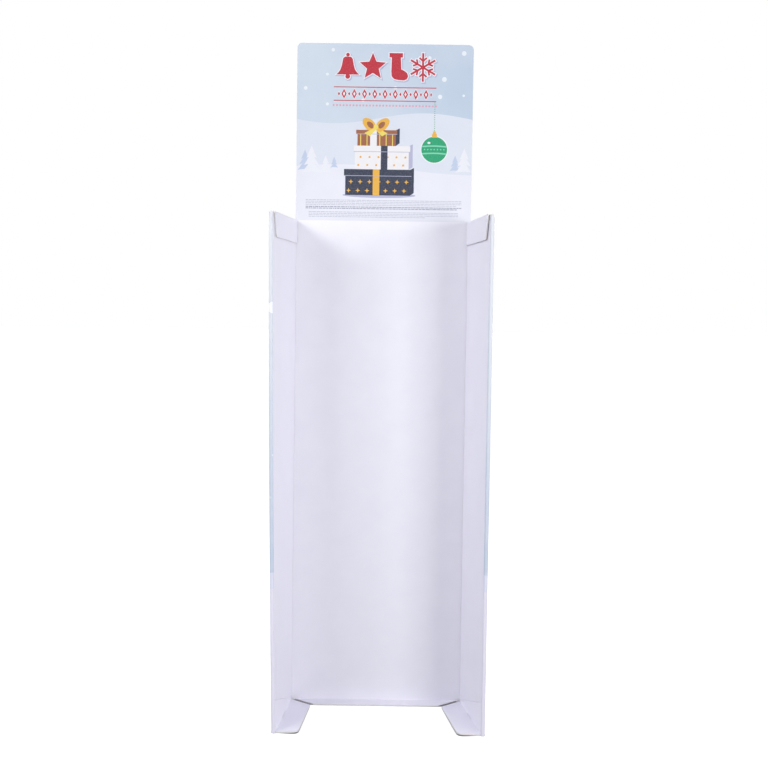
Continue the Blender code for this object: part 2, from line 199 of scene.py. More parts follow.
class BoardSizes(PropertyGroup):
    """The corrugated board itself."""

    thickness: length("Thickness", "Whole board", 0.003)
    liner: length("Liner", "Paper on each side of the fluting", 0.00035)
    medium: length("Medium", "Paper of the fluting", 0.00024)
    pitch: length("Flute pitch", "From one flute to the next", 0.0065)
    play: length("Glue line", "Between the fluting's crests and the liners", 0.00003)
    wave_steps: counted("Wave steps", "Facets in one flute", 6, 4)
    fold_steps: counted("Fold steps", "Facets in one bend", 8, 2)
    core_steps: counted("Core steps", "Facets of the fluting in one bend", 4)
    corner_steps: counted("Corner steps", "Facets in a rounded corner", 10)
    rows: counted("Rows", "Rows of faces up each panel", 24, 2)
    edge_inset: length("Edge inset", "From a cut edge to the fluting that is pressed shut", 0.0004)


class SheetSizes(PropertyGroup):
    """The die-cut sheet and its folds, nearly all of them as in the solid that carries them."""

    crease: length("Crease", "Inside radius of a pressed crease", 0.0006)
    clear: length("Clearance", "Between plies that face each other", 0.0005)
    notch: length("Notch", "Width of the relief slit at the end of a crease", 0.0008)
    relief: length("Relief", "How far that slit runs past the crease", 0.0006)
    support: length("Support", "Strip beside a bend that keeps the panel's shading flat", 0.0004)
    bay_width: length("Bay width", "Between the wings at the back panel", 0.440)
    body_height: length("Body height", "From the floor to the top of the body", BODY_HIGH.z)
    wing_depth: length("Wing depth", "From the back panel to the wing's front", 0.262)
    wing_thickness: length("Wing thickness", "Over both plies", 0.010)
    flare_top: angle("Flare at the top", "Turn of the wings outwards", 7.95)
    flare_floor: angle("Flare at the floor", "Turn of the wings outwards", 6.0)
    floor_sway: length("Sway", "How far both wings' fronts stand to the right at the floor", 0.0085)
    bow: length("Bow", "How far the left wing's front bows out at half its height", 0.0023)
    flap_drop: length("Flap drop", "From the wing's top to the flap's lower edge", 0.060)
    flap_setback: length("Flap setback", "From the wing's front to the flap", 0.008)
    flap_rake: length("Flap rake", "How much further back the flap's lower corner is", 0.019)
    flap_corner: length("Flap corner", "Radius of that corner", 0.009)
    flap_open_right: length("Right flap open", "How far its front springs open", 0.0018)
    flap_open_left: length("Left flap open", "How far its front springs open", 0.0004)
    foot_width: length("Foot width", "From the wing to the foot's free edge", 0.056)
    foot_corner: length("Foot corner", "Radius of the foot's front corner", 0.014)
    foot_lift: angle("Foot lift", "The foot's free edge rises off the floor", 4.0)
    foot_flat: length("Foot flat", "From the back panel to where the foot starts to rise", 0.050)
    mitre_angle: angle("Mitre", "Between the mitre and the back panel", 41.0)
    mitre_gap: length("Mitre gap", "Between the back flap and a foot", 0.0105)
    back_flap_depth: length("Back flap", "From the back panel to the flap's front edge", 0.044)
    back_flap_corner: length("Back flap corner", "Radius of its front corners", 0.004)
    tab_length: length("Tab length", "Lock tab at the foot of each outer ply", 0.036)
    tab_centre: length("Tab centre", "From the back panel", 0.128)
    slot_play: length("Slot play", "At each end of the tab", 0.003)
    slot_reach: length("Slot reach", "How far the slot runs into the foot", 0.0015)
    tab_gap: length("Tab gap", "From the tab's end to the slot's far edge", 0.0006)
    score_rise: length("Score rise", "Height of the scored line at the wing's front", 0.081)
    score_width: length("Score width", "Of the pressed line", 0.0026)
    score_depth: length("Score depth", "Of the pressed line", 0.0022)
    score_margin: length("Score margin", "From the line's ends to the ply's edges", 0.004)


class CardSizes(PropertyGroup):
    """The header card and what is printed on it, in places up from the body's top edge."""

    corner: length("Corner", "Radius of the card's top corners", 0.0125)
    ink: length("Ink", "Step from one printed layer to the next", 0.00006)
    far_hill: length("Far hill", "Mean height of its crest", 0.262)
    far_swell: length("Far swell", "Height of its crest over its mean", 0.014)
    near_hill: length("Near hill", "Mean height of its crest", 0.132)
    near_swell: length("Near swell", "Height of its crest over its mean", 0.012)
    icon_middle: length("Icon middle", "Height of the row of icons", 0.392)
    icon_pitch: length("Icon pitch", "From one icon to the next", 0.064)
    icon_reach: length("Icon reach", "Half the height of an icon", 0.040)
    garland_height: length("Garland", "Height of the row of diamonds", 0.323)
    garland_width: length("Garland width", "Of the row of diamonds", 0.262)
    dotted_height: length("Dotted line", "Height of the line of dots", 0.294)
    gift_base: length("Gift base", "Height of the parcels' lower edge", 0.066)
    bauble_radius: length("Bauble radius", "Of the green ball", 0.033)
    bauble_height: length("Bauble height", "Height of its middle", 0.184)
    bauble_across: length("Bauble across", "Its middle, from the card's middle", 0.128)
    flakes: counted("Flakes", "Snow dots in the sky, before near ones are dropped", 30)
    seed: counted("Seed", "Fixes what is scattered", 11, 0)


class Colours(PropertyGroup):
    """Colours of the board and its inks."""

    inside: colour("Inside", "Coated inside of the sheet", 237, 235, 243)
    outside: colour("Outside", "Coated outside of the sheet, unprinted", 237, 235, 244)
    kraft: colour("Kraft", "Bare paper at the cut edges", 240, 237, 238)
    medium: colour("Medium", "Paper of the fluting", 228, 219, 213)
    foam: colour("Foam", "Foam tape", 238, 238, 232)
    sky_left: colour("Left sky", "At the card's left", 198, 208, 221)
    sky_right: colour("Right sky", "At the card's right", 184, 197, 215)
    sky_pale: colour("Pale sky", "At the top of the wings", 221, 223, 231)
    sky_deep: colour("Deep sky", "Above the wings' hills", 195, 205, 223)
    wing_far_snow: colour("Wings' far snow", "The hill behind, on the wings", 220, 221, 237)
    wing_near_snow: colour("Wings' near snow", "The hill in front, on the wings", 228, 224, 238)
    # Painted shade: the right wing's print is darkened to stand in for the shade that falls on that
    # side
    right_painted_shade: fraction("Right deeper", "How much deeper the right wing is printed", 0.07)
    far_snow: colour("Far snow", "The hill behind", 213, 217, 228)
    near_snow: colour("Near snow", "The hill in front", 224, 224, 233)
    flake: colour("Flake", "Snow in the air", 222, 226, 234)
    flake_bright: colour("Bright flake", "Large snow in the air on the wings", 241, 243, 250)
    red: colour("Red", "Icons and garland", 176, 26, 48)
    rose: colour("Rose", "Line of dots", 214, 150, 172)
    halo: colour("Halo", "Pale rim round the icons", 228, 227, 234)
    shade: colour("Shade", "Printed shadow of the icons", 172, 172, 200)
    green: colour("Green", "Bauble", 6, 148, 102)
    green_light: colour("Light green", "Bands on the bauble", 120, 200, 170)
    navy: colour("Navy", "Lower parcel and ribbons", 30, 38, 62)
    cream: colour("Cream", "Middle parcel", 228, 225, 229)
    gold: colour("Gold", "Ribbons and dots", 222, 168, 62)
    brown: colour("Brown", "Upper parcel", 146, 88, 58)
    straw: colour("Straw", "Bow", 226, 204, 96)
    fir: colour("Fir", "Firs further back", 184, 195, 219)
    small: colour("Small lines", "Hairlines at the card's foot", 178, 178, 196)
    small_dark: colour("Dark lines", "The darker hairlines", 138, 138, 160)


class StudioSizes(PropertyGroup):
    """The floor, the lights and the camera."""

    floor_reach: length("Floor reach", "Half the floor's width", 120.0)
    floor_gap: length("Floor gap", "Under the feet", 0.0002)
    floor_tone: fraction("Floor tone", "Share of light that it throws back", 0.38)
    floor_glow: fraction("Floor glow", "Added to it for the camera", 0.86)
    # Painted contact shadow: within this distance, ambient occlusion dims the floor's glow beside
    # the stand
    contact: length("Contact", "How far the stand darkens the floor beside it", 0.010)
    lens: FloatProperty(name="Lens", description="Focal length", default=55.90, unit="CAMERA")
    camera: FloatVectorProperty(name="Camera", description="Place of the camera", size=3,
                                subtype="TRANSLATION", default=(0.0117, -2.9522, 0.9923))
    yaw: angle("Yaw", "Camera's turn to the right", -0.017)
    pitch: angle("Pitch", "Camera's tilt down", 2.991)
    roll: angle("Roll", "Camera's turn about its own axis", 0.812)
    lamp_colour: colour("Lamp colour", "Light of the soft boxes", 254, 255, 247)
    fill_colour: colour("Fill colour", "Light from all round", 227, 232, 255)
    fill: fraction("Fill", "Strength of the world's light", 0.49)
    lamp_distance: length("Lamp distance", "From the middle of the bay", 3.2)
    left_power: power("Left lamp", 35.2)
    left_side_power: power("Left side lamp", 10.7)
    right_power: power("Right lamp", 35.2)
    right_side_power: power("Right side lamp", 20.9)
    rear_power: power("Each rear lamp", 30.0)
    top_power: power("Top lamp", 4.5)


class DisplayStand(PropertyGroup):
    """Everything that a user of the stand would change."""

    board: PointerProperty(type=BoardSizes)
    sheet: PointerProperty(type=SheetSizes)
    card: PointerProperty(type=CardSizes)
    colours: PointerProperty(type=Colours)
    studio: PointerProperty(type=StudioSizes)


def tangent(radius, turn):
    """Distance from a fold's virtual corner to the start of its bend."""
    return radius * math.tan(turn / 2)


def below(bend, radius, turn, reach):
    """Height on the flat sheet of a point that is reach beyond a fold's virtual corner."""
    return bend - radius * turn - (reach - tangent(radius, turn))


def place(across, height):
    """Point of the flat sheet."""
    return np.array((across, 0.0, height))


def rounded(points, radii, steps):
    """Outline through the points, with the corners that have a radius turned into arcs."""
    outline = []
    points = [Vector(point) for point in points]
    for index, corner in enumerate(points):
        radius = radii.get(index, 0)
        if not radius:
            outline.append(corner)
            continue
        before = (points[index - 1] - corner).normalized()
        after = (points[(index + 1) % len(points)] - corner).normalized()
        half = before.angle(after) / 2
        centre = corner + (before + after).normalized() * radius / math.sin(half)
        start = corner + before * radius / math.tan(half) - centre
        end = corner + after * radius / math.tan(half) - centre
        turn = start.angle(end)
        for step in range(steps + 1):
            part = step / steps
            outline.append(centre + (start * math.sin((1 - part) * turn)
                                     + end * math.sin(part * turn)) / math.sin(turn))
    return outline


class Fold:
    """A crease on the flat sheet: everything beyond it, inside its span, turns about it."""

    def __init__(self, point, across, turn, radius, span, inward=True):
        self.point, self.across = point, across
        self.radius, self.span = radius, span
        self.lift = INSIDE if inward else -INSIDE
        self.length = radius * turn

    def lines(self, steps, support):
        """Where the sheet is cut for the facets of the bend and for the strips beside it."""
        reaches = [self.length * step / steps for step in range(steps + 1)]
        if support:
            reaches = [-support, *reaches, self.length + support]
        return [self.point + self.across * reach for reach in reaches]

    def turn(self, homes, places):
        """Turns the places of points whose homes on the flat sheet lie beyond the crease."""
        reach = (homes - self.point) @ self.across
        moving = (reach > 0) & (homes[:, 0] > self.span[0]) & (homes[:, 0] < self.span[1])
        bent = np.minimum(reach[moving], self.length)[:, None]
        cosine, sine = np.cos(bent / self.radius), np.sin(bent / self.radius)
        step = places[moving] - self.point
        along, above = (step @ self.across)[:, None], (step @ self.lift)[:, None]
        stay = step - along * self.across - above * self.lift
        curve = self.radius * (self.across * sine + self.lift * (1 - cosine))
        outwards = self.across * cosine + self.lift * sine
        inwards = self.lift * cosine - self.across * sine
        places[moving] = self.point + stay + curve + outwards * (along - bent) + inwards * above


class SheetPlan:
    """Where the outline and the creases of half the sheet lie while it is flat."""

    def __init__(self, sheet, board, side):
        self.sheet, self.board, self.side = sheet, board, side
        self.thick = board.thickness
        self.bend = tangent(sheet.crease, SQUARE)
        self.outer_radius = sheet.crease + self.thick
        self.foot_turn = SQUARE + sheet.foot_lift
        self.flare = (sheet.flare_top + sheet.flare_floor) / 2
        self.bow = sheet.bow if side < 0 else 0
        back_fold = SQUARE - self.flare
        lead = tangent(sheet.crease, back_fold)
        self.ply_offset = sheet.wing_thickness - self.thick
        outer_start = self.ply_offset * math.tan(self.flare)
        self.front_bend = sheet.wing_depth - self.thick - self.bend
        rear_edge = (sheet.clear + self.thick * math.sin(self.flare)) / math.cos(self.flare)
        back_corner = sheet.bay_width / 2 + self.ply_offset / math.cos(self.flare)
        crease_length = sheet.crease * SQUARE
        self.back_bend = (back_corner - lead, sheet.crease * back_fold)
        self.outer_ply = sum(self.back_bend)
        self.outer_bend = (self.outer_ply + self.front_bend - outer_start - lead, crease_length)
        spine = sheet.wing_thickness - 2 * self.thick - 2 * self.bend
        self.inner_bend = (sum(self.outer_bend) + spine, crease_length)
        self.inner_ply = sum(self.inner_bend)
        self.sheet_edge = self.inner_ply + self.front_bend - rear_edge
        self.ply_top = sheet.body_height - self.thick - sheet.clear
        self.cap_bend = sheet.body_height - self.thick - self.bend
        self.floor_bend = self.thick + self.bend
        self.foot_bend = self.outer_radius
        self.place_flap(outer_start + lead)
        self.hinge_end = sheet.bay_width / 2 - sheet.mitre_gap / 2 / math.sin(sheet.mitre_angle)
        self.tab = (self.flat_outer(sheet.tab_centre - sheet.tab_length / 2),
                    self.flat_outer(sheet.tab_centre + sheet.tab_length / 2))
        self.folds = self.creases()

    def flat_outer(self, along):
        """Place across the flat sheet of a point on the outer ply."""
        return self.outer_bend[0] - (self.front_bend - along)

    def flat_inner(self, along):
        """Place across the flat sheet of a point on the inner ply."""
        return self.inner_ply + (self.front_bend - along)

    def below_foot_bend(self, reach):
        """Height on the flat sheet of a point of the foot, reach beyond its crease."""
        return below(self.foot_bend, self.outer_radius, self.foot_turn, reach)

    def place_flap(self, ply_start):
        """The top flap's second crease lies askew where the flap springs open."""
        sheet = self.sheet
        self.flap_rear = ply_start + 2 * sheet.notch
        self.flap_front = sheet.wing_depth - sheet.flap_setback
        stand_off = sheet.flap_open_right if self.side > 0 else sheet.flap_open_left
        reach = self.ply_offset + sheet.clear - 2 * self.bend
        cap_end = self.cap_bend + sheet.crease * SQUARE + reach
        self.flap_corner = place(self.flat_outer(self.flap_rear), cap_end)
        self.flap_front_corner = place(self.flat_outer(self.flap_front), cap_end + stand_off)
        line = self.flap_front_corner - self.flap_corner
        self.flap_line = line / np.linalg.norm(line)
        self.flap_across = np.array((-self.flap_line[2], 0, self.flap_line[0]))

    def flap_point(self, along, drop):
        """Point of the flap, drop below the wing's top, on the flat sheet."""
        reach = self.sheet.crease * SQUARE - self.bend + drop - self.thick
        forward = self.flap_line * (along - self.flap_rear)
        return self.flap_corner + forward + self.flap_across * reach

    def slit(self, across, bend):
        """Relief slit, cut up past a crease at one end of it and down again beside it."""
        top, beside = bend + self.sheet.relief, across + self.sheet.notch
        return [place(across, top), place(beside, top), place(beside, 0)]

    def back_flap(self):
        sheet = self.sheet
        edge = below(self.floor_bend, sheet.crease, SQUARE, sheet.back_flap_depth)
        mitre_end = self.hinge_end - sheet.back_flap_depth / math.tan(sheet.mitre_angle)
        points = [place(0, edge), place(mitre_end, edge),
                  place(self.hinge_end, self.floor_bend - sheet.crease * SQUARE)]
        flap = rounded(points, {1: sheet.back_flap_corner}, self.board.corner_steps)
        return flap + self.slit(self.hinge_end, self.floor_bend)

    def lock_tab(self):
        start, end = self.tab
        reach = self.ply_offset + self.thick + self.sheet.slot_reach - self.sheet.tab_gap
        edge = below(self.floor_bend, self.sheet.crease, SQUARE, reach)
        top, beside = self.floor_bend + self.sheet.relief, start - self.sheet.notch
        left = [place(beside, 0), place(beside, top), place(start, top)]
        return left + [place(start, edge), place(end, edge)] + self.slit(end, self.floor_bend)

    def foot(self):
        sheet = self.sheet
        front = self.inner_ply + sheet.notch
        edge = self.below_foot_bend(sheet.foot_width + self.thick)
        bend_end = self.foot_bend - self.outer_radius * self.foot_turn
        mitre = sheet.mitre_angle - self.flare
        mitre_start = self.flat_inner(sheet.mitre_gap / 2 / math.cos(mitre))
        mitre_end = mitre_start - sheet.foot_width * math.tan(mitre)
        top = self.foot_bend + sheet.relief
        points = [place(self.inner_ply, 0), place(self.inner_ply, top), place(front, top),
                  place(front, edge), place(mitre_end, edge), place(mitre_start, bend_end),
                  place(mitre_start, top), place(self.sheet_edge, top)]
        return rounded(points, {3: sheet.foot_corner}, self.board.corner_steps)

    def top_flap(self):
        sheet = self.sheet
        front, rear = self.flat_outer(self.flap_front), self.flat_outer(self.flap_rear)
        slit_foot = self.cap_bend - sheet.relief
        low_front = self.flap_point(self.flap_front - sheet.flap_rake, sheet.flap_drop)
        low_rear = place(rear, self.flap_point(self.flap_rear, sheet.flap_drop)[2])
        points = [place(front + sheet.notch, self.ply_top), place(front + sheet.notch, slit_foot),
                  place(front, slit_foot), self.flap_front_corner, low_front, low_rear,
                  place(rear, slit_foot), place(rear - sheet.notch, slit_foot),
                  place(rear - sheet.notch, sheet.body_height)]
        return rounded(points, {4: sheet.flap_corner}, self.board.corner_steps)

    def outline(self):
        """Half of the sheet, from its middle outwards."""
        corner, middle = place(self.sheet_edge, self.ply_top), place(0, self.sheet.body_height)
        return [*self.back_flap(), *self.lock_tab(), *self.foot(), corner, *self.top_flap(), middle]

    def creases(self):
        """All folds of half a sheet, in the order in which they are folded."""
        sheet, half_notch = self.sheet, self.sheet.notch / 2
        flap_span = (self.flat_outer(self.flap_rear) - half_notch,
                     self.flat_outer(self.flap_front) + half_notch)
        tab_span = (self.tab[0] - half_notch, self.tab[1] + half_notch)
        hang = Fold(self.flap_corner, self.flap_across, SQUARE, sheet.crease, flap_span)
        cap = Fold(place(0, self.cap_bend), UP, SQUARE, sheet.crease, flap_span)
        tab = Fold(place(0, self.floor_bend), -UP, SQUARE, sheet.crease, tab_span)
        foot = Fold(place(0, self.foot_bend), -UP, self.foot_turn, self.outer_radius,
                    (self.inner_ply + half_notch, math.inf), inward=False)
        back_flap = Fold(place(0, self.floor_bend), -UP, SQUARE, sheet.crease,
                         (-math.inf, self.hinge_end + half_notch))
        folds = [hang, cap, tab, foot, back_flap]
        for start, bend in (self.inner_bend, self.outer_bend, self.back_bend):
            turn = bend / sheet.crease
            folds.append(Fold(place(start, 0), RIGHT, turn, sheet.crease, (start, math.inf)))
        return folds

    def slot(self):
        """Ends of the slot across the sheet, and its heights."""
        sheet = self.sheet
        half = sheet.tab_length / 2 + sheet.slot_play
        ends = (self.flat_inner(sheet.tab_centre + half), self.flat_inner(sheet.tab_centre - half))
        low = self.below_foot_bend(self.thick + sheet.slot_reach)
        return ends, (low, self.foot_bend + sheet.relief)

    def stand_up(self, homes, places):
        """Folds points of the flat sheet and sets them where the standing stand has them."""
        for fold in self.folds:
            fold.turn(homes, places)
        self.settle_foot(homes, places)
        sheet = self.sheet
        depth = sheet.wing_depth * math.cos(self.flare)
        at_top = sheet.wing_depth * (math.sin(sheet.flare_top) - math.sin(self.flare))
        at_floor = sheet.wing_depth * (math.sin(sheet.flare_floor) - math.sin(self.flare))
        at_floor += sheet.floor_sway * self.side
        forward = np.maximum(0, -places[:, 1] / depth)
        forward *= np.minimum(1, places[:, 0] / (sheet.bay_width / 2))
        height = places[:, 2] / sheet.body_height
        places[:, 0] += forward * (at_top * height + at_floor * (1 - height))
        places[:, 0] += forward * self.bow * 4 * height * (1 - height)
        places[:, 0] *= self.side
        places[:, 1] += BODY_HIGH.y - self.thick

    def settle_foot(self, homes, places):
        """The foot lies flat beside the back flap and rises only towards the front."""
        sheet = self.sheet
        foot = (homes[:, 0] > self.inner_ply) & (homes[:, 2] < self.foot_bend)
        reach = np.maximum(0, self.foot_bend - homes[:, 2] - self.outer_radius)
        front = (-places[:, 1] - sheet.foot_flat) / (sheet.wing_depth - sheet.foot_flat)
        fall = reach * math.sin(sheet.foot_lift) * (1 - np.clip(front, 0, 1))
        places[foot, 2] -= fall[foot]


def overlaps(values, span):
    return min(values) < span[1] - TOUCH and max(values) > span[0] + TOUCH


def cut_line(blank, point, across, span=EVERYWHERE, heights=EVERYWHERE):
    """Adds an edge along a line of the flat sheet, in the faces that reach into a region."""
    parts = set()
    for face in blank.faces:
        places = [vert.co for vert in face.verts]
        if overlaps([co.x for co in places], span) and overlaps([co.z for co in places], heights):
            parts.update([face, *face.edges, *face.verts])
    bmesh.ops.bisect_plane(blank, geom=list(parts), dist=TOUCH, plane_co=point, plane_no=across)


def cut_columns(blank, faces, places):
    """Cuts the faces along upright lines, halving the list of places each time."""
    if not places or not faces:
        return
    middle = len(places) // 2
    parts = set(faces)
    for face in faces:
        parts.update([*face.edges, *face.verts])
    cut = bmesh.ops.bisect_plane(blank, geom=list(parts), dist=TOUCH,
                                 plane_co=(places[middle], 0, 0), plane_no=RIGHT)
    pieces = [part for part in cut["geom"] if isinstance(part, bmesh.types.BMFace)]
    left = [face for face in pieces if face.calc_center_bounds().x < places[middle]]
    right = [face for face in pieces if face.calc_center_bounds().x >= places[middle]]
    cut_columns(blank, left, places[:middle])
    cut_columns(blank, right, places[middle + 1:])


def outline_face(points):
    """New mesh with one face through the points, looking to the inside of the sheet."""
    blank = bmesh.new()
    face = blank.faces.new([blank.verts.new(point) for point in points])
    face.normal_update()
    if face.normal.dot(Vector(INSIDE)) < 0:
        face.normal_flip()
    return blank


def crease(blank, plan, steps, support):
    """Cuts a flat layer along every crease, so that it can bend there."""
    for fold in reversed(plan.folds):
        for point in fold.lines(steps, support):
            cut_line(blank, point, fold.across, fold.span)


def cut_rows(blank, plan, rows, span=EVERYWHERE):
    for row in range(1, rows):
        cut_line(blank, place(0, plan.sheet.body_height * row / rows), UP, span)


def creased_blank(plan, steps, support):
    """Half of the flat sheet as one layer, cut out, creased and punched."""
    blank = outline_face(plan.outline())
    crease(blank, plan, steps, support)
    ends, heights = plan.slot()
    ply = (plan.inner_ply, math.inf)
    for height in heights:
        cut_line(blank, place(0, height), UP, ply)
    for end in ends:
        cut_line(blank, place(end, 0), RIGHT, ply, heights)
    middles = {face: face.calc_center_median() for face in blank.faces}
    inside = [face for face, middle in middles.items()
              if ends[0] < middle.x < ends[1] and heights[0] < middle.z < heights[1]]
    bmesh.ops.delete(blank, geom=inside, context="FACES")
    return blank


def score(blank, plan):
    """Presses the shallow scored line into the inner ply."""
    sheet = plan.sheet
    front = place(plan.inner_ply, sheet.score_rise)
    rear = place(plan.sheet_edge, plan.foot_bend + sheet.relief + sheet.score_width)
    line = (rear - front) / np.linalg.norm(rear - front)
    across = np.array((-line[2], 0, line[0]))
    ply, heights = (plan.inner_ply, math.inf), (plan.foot_bend, sheet.score_rise)
    for part in (-0.5, 0, 0.5):
        cut_line(blank, front + across * sheet.score_width * part, across, ply, heights)
    ends = (plan.inner_ply + sheet.score_margin, plan.sheet_edge - sheet.score_margin)
    for end in ends:
        cut_line(blank, place(end, 0), RIGHT, ply, heights)
    for vert in blank.verts:
        on_line = abs((np.array(vert.co) - front) @ across) < TOUCH
        if on_line and ends[0] - TOUCH < vert.co.x < ends[1] + TOUCH:
            vert.co += Vector(INSIDE) * sheet.score_depth


def lay_flat_map(blank, side):
    """Gives each corner its place on the flat sheet, in metres, as its place on the UV map."""
    layer = blank.loops.layers.uv.new("sheet")
    for face in blank.faces:
        for loop in face.loops:
            loop[layer].uv = (loop.vert.co.x * side, loop.vert.co.z)


def points_of(layer):
    return np.array([vert.co for vert in layer.verts], float)


def fold_layer(layer, plan, depth, homes=None):
    """Moves a layer to its depth in the board and folds it, by its points' homes on the sheet."""
    places = points_of(layer)
    homes = places.copy() if homes is None else homes
    places[:, 1] += depth
    plan.stand_up(homes, places)
    for vert, point in zip(layer.verts, places):
        vert.co = point
    if plan.side < 0:
        bmesh.ops.reverse_faces(layer, faces=layer.faces)


def join_halves(name, halves, materials):
    """Piece made of both halves of a layer, welded down the middle."""
    whole = bmesh.new()
    for half in halves:
        piece = bpy.data.meshes.new("half")
        half.to_mesh(piece)
        half.free()
        whole.from_mesh(piece)
        bpy.data.meshes.remove(piece)
    seam = [vert for vert in whole.verts if abs(vert.co.x) < TOUCH]
    bmesh.ops.remove_doubles(whole, verts=seam, dist=WELD)
    return shaped_piece(name, whole, materials)


def shaped_piece(name, shape, materials=()):
    """Piece made of a finished shape, which is then let go."""
    mesh = bpy.data.meshes.new(name)
    shape.to_mesh(mesh)
    shape.free()
    for material in materials:
        mesh.materials.append(material)
    return add_piece(name, mesh)


def add_piece(name, mesh):
    piece = bpy.data.objects.new(name, mesh)
    bpy.context.scene.collection.objects.link(piece)
    return piece


def bake(piece):
    """Turns what the modifiers make into the piece's own mesh."""
    evaluated = piece.evaluated_get(bpy.context.evaluated_depsgraph_get())
    mesh = bpy.data.meshes.new_from_object(evaluated)
    piece.modifiers.clear()
    piece.data = mesh
    mesh.name = piece.name
    return piece


def thicken(piece, thickness, material_step=1, middle=False):
    """Gives a layer its own thickness, away from the side that it faces, and smooths its bends."""
    solid = piece.modifiers.new("thickness", "SOLIDIFY")
    solid.thickness = thickness
    solid.offset = 0 if middle else -1
    solid.use_even_offset = not middle
    solid.material_offset = material_step
    solid.material_offset_rim = material_step
    bake(piece)
    piece.data.shade_smooth()
    piece.data.set_sharp_from_angle(angle=SMOOTH_BELOW)
    return piece


class NodeMaker:
    """Adds nodes; an input takes a value, a socket or a node's first output, by name or number."""

    def __init__(self, tree):
        self.tree = tree

    def __call__(self, kind, *values, **named):
        node = self.tree.nodes.new(kind)
        for key, value in [*enumerate(values), *named.items()]:
            self.set(node.inputs[key.replace("_", " ") if isinstance(key, str) else key], value)
        return node

    def set(self, socket, value):
        if isinstance(value, bpy.types.Node):
            value = value.outputs[0]
        if isinstance(value, bpy.types.NodeSocket):
            self.tree.links.new(value, socket)
        elif socket.type == "RGBA":
            socket.default_value = (*value, 1)
        else:
            socket.default_value = value

    def maths(self, operation, *values):
        node = self.tree.nodes.new("ShaderNodeMath")
        node.operation = operation
        for socket, value in zip(node.inputs, values):
            self.set(socket, value)
        return node.outputs[0]

    def mix(self, factor, first, second, blend="MIX"):
        node = self.tree.nodes.new("ShaderNodeMix")
        node.data_type = "RGBA"
        node.blend_type = blend
        self.set(node.inputs["Factor"], factor)
        for socket, value in zip(node.inputs[6:8], (first, second)):
            self.set(socket, value)
        return node.outputs[2]

    def noise(self, vector, scale, detail):
        node = self("ShaderNodeTexNoise", Vector=vector, Scale=scale, Detail=detail)
        return node.outputs["Fac"]

    def ripple(self, across, pitch):
        """Sine wave across the flutes, from -1 to 1."""
        turns = self.maths("DIVIDE", across, pitch)
        return self.maths("SINE", self.maths("MULTIPLY", turns, FULL_TURN))

    def stretched(self, vector, *scale):
        return self("ShaderNodeMapping", Vector=vector, Scale=scale)

    def shade(self, **inputs):
        """Gives the material's own shader its colour, roughness and the like."""
        shader = self.tree.nodes["Principled BSDF"]
        for key, value in inputs.items():
            self.set(shader.inputs[key.replace("_", " ")], value)

    def relief(self, height, strength=1.0, distance=1.0):
        bump = self("ShaderNodeBump", Strength=strength, Distance=distance, Height=height)
        self.shade(Normal=bump)

    def span(self, value, low, high, to_low=0.0, to_high=1.0):
        node = self("ShaderNodeMapRange")
        node.clamp = True
        for socket, item in zip(node.inputs, (value, low, high, to_low, to_high)):
            self.set(socket, item)
        return node.outputs[0]


def new_tree(name, **inputs):
    """Geometry nodes with named inputs, a maker for their nodes, and what the inputs give."""
    tree = bpy.data.node_groups.new(name, "GeometryNodeTree")
    tree.is_modifier = True
    for label, kind in {"Geometry": "Geometry", **inputs, "Material": "Material"}.items():
        tree.interface.new_socket(label, in_out="INPUT", socket_type="NodeSocket" + kind)
    tree.interface.new_socket("Geometry", in_out="OUTPUT", socket_type="NodeSocketGeometry")
    make = NodeMaker(tree)
    return tree, make, make("NodeGroupInput").outputs


def end_tree(tree, make, given, shape):
    """Makes copies real, gives the shape its material and hands it to the piece."""
    real = make("GeometryNodeRealizeInstances", Geometry=shape)
    coat = make("GeometryNodeSetMaterial", Geometry=real, Material=given["Material"])
    make("NodeGroupOutput", coat)
    return tree


def wave_tree():
    """Geometry nodes that wave a flat layer into fluting, crest to crest inside the liners."""
    tree, make, given = new_tree("Fluting", Pitch="Float", Height="Float")
    split = make("ShaderNodeSeparateXYZ", Vector=make("GeometryNodeInputPosition"))
    ripple = make.ripple(split.outputs["X"], given["Pitch"])
    lift = make("ShaderNodeCombineXYZ", Y=make.maths("MULTIPLY", ripple, given["Height"]))
    waved = make("GeometryNodeSetPosition", Geometry=given["Geometry"], Offset=lift)
    return end_tree(tree, make, given, waved)


def wave(layer, board, paper):
    """Waves a flat layer into fluting whose centre line stays half a medium inside the liners."""
    height = board.thickness / 2 - board.liner - board.medium / 2 - board.play
    return run_tree(layer, wave_tree(), Pitch=board.pitch, Height=height, Material=paper)


def run_tree(piece, tree, **inputs):
    """Puts geometry nodes on a piece, sets their inputs by identifier, and keeps the result."""
    modifier = piece.modifiers.new(tree.name, "NODES")
    modifier.node_group = tree
    for item in tree.interface.items_tree:
        if item.in_out == "INPUT" and item.name in inputs:
            modifier[item.identifier] = inputs[item.name]
    return bake(piece)


def new_material(name, base, roughness):
    """Material with a named finish, and a maker for its nodes."""
    material = bpy.data.materials.new(name)
    material.use_nodes = True
    material.diffuse_color = (*base, 1)
    make = NodeMaker(material.node_tree)
    make.shade(Base_Color=base, Roughness=roughness)
    return material, make


def darker(base, share):
    return tuple(channel * share for channel in base)


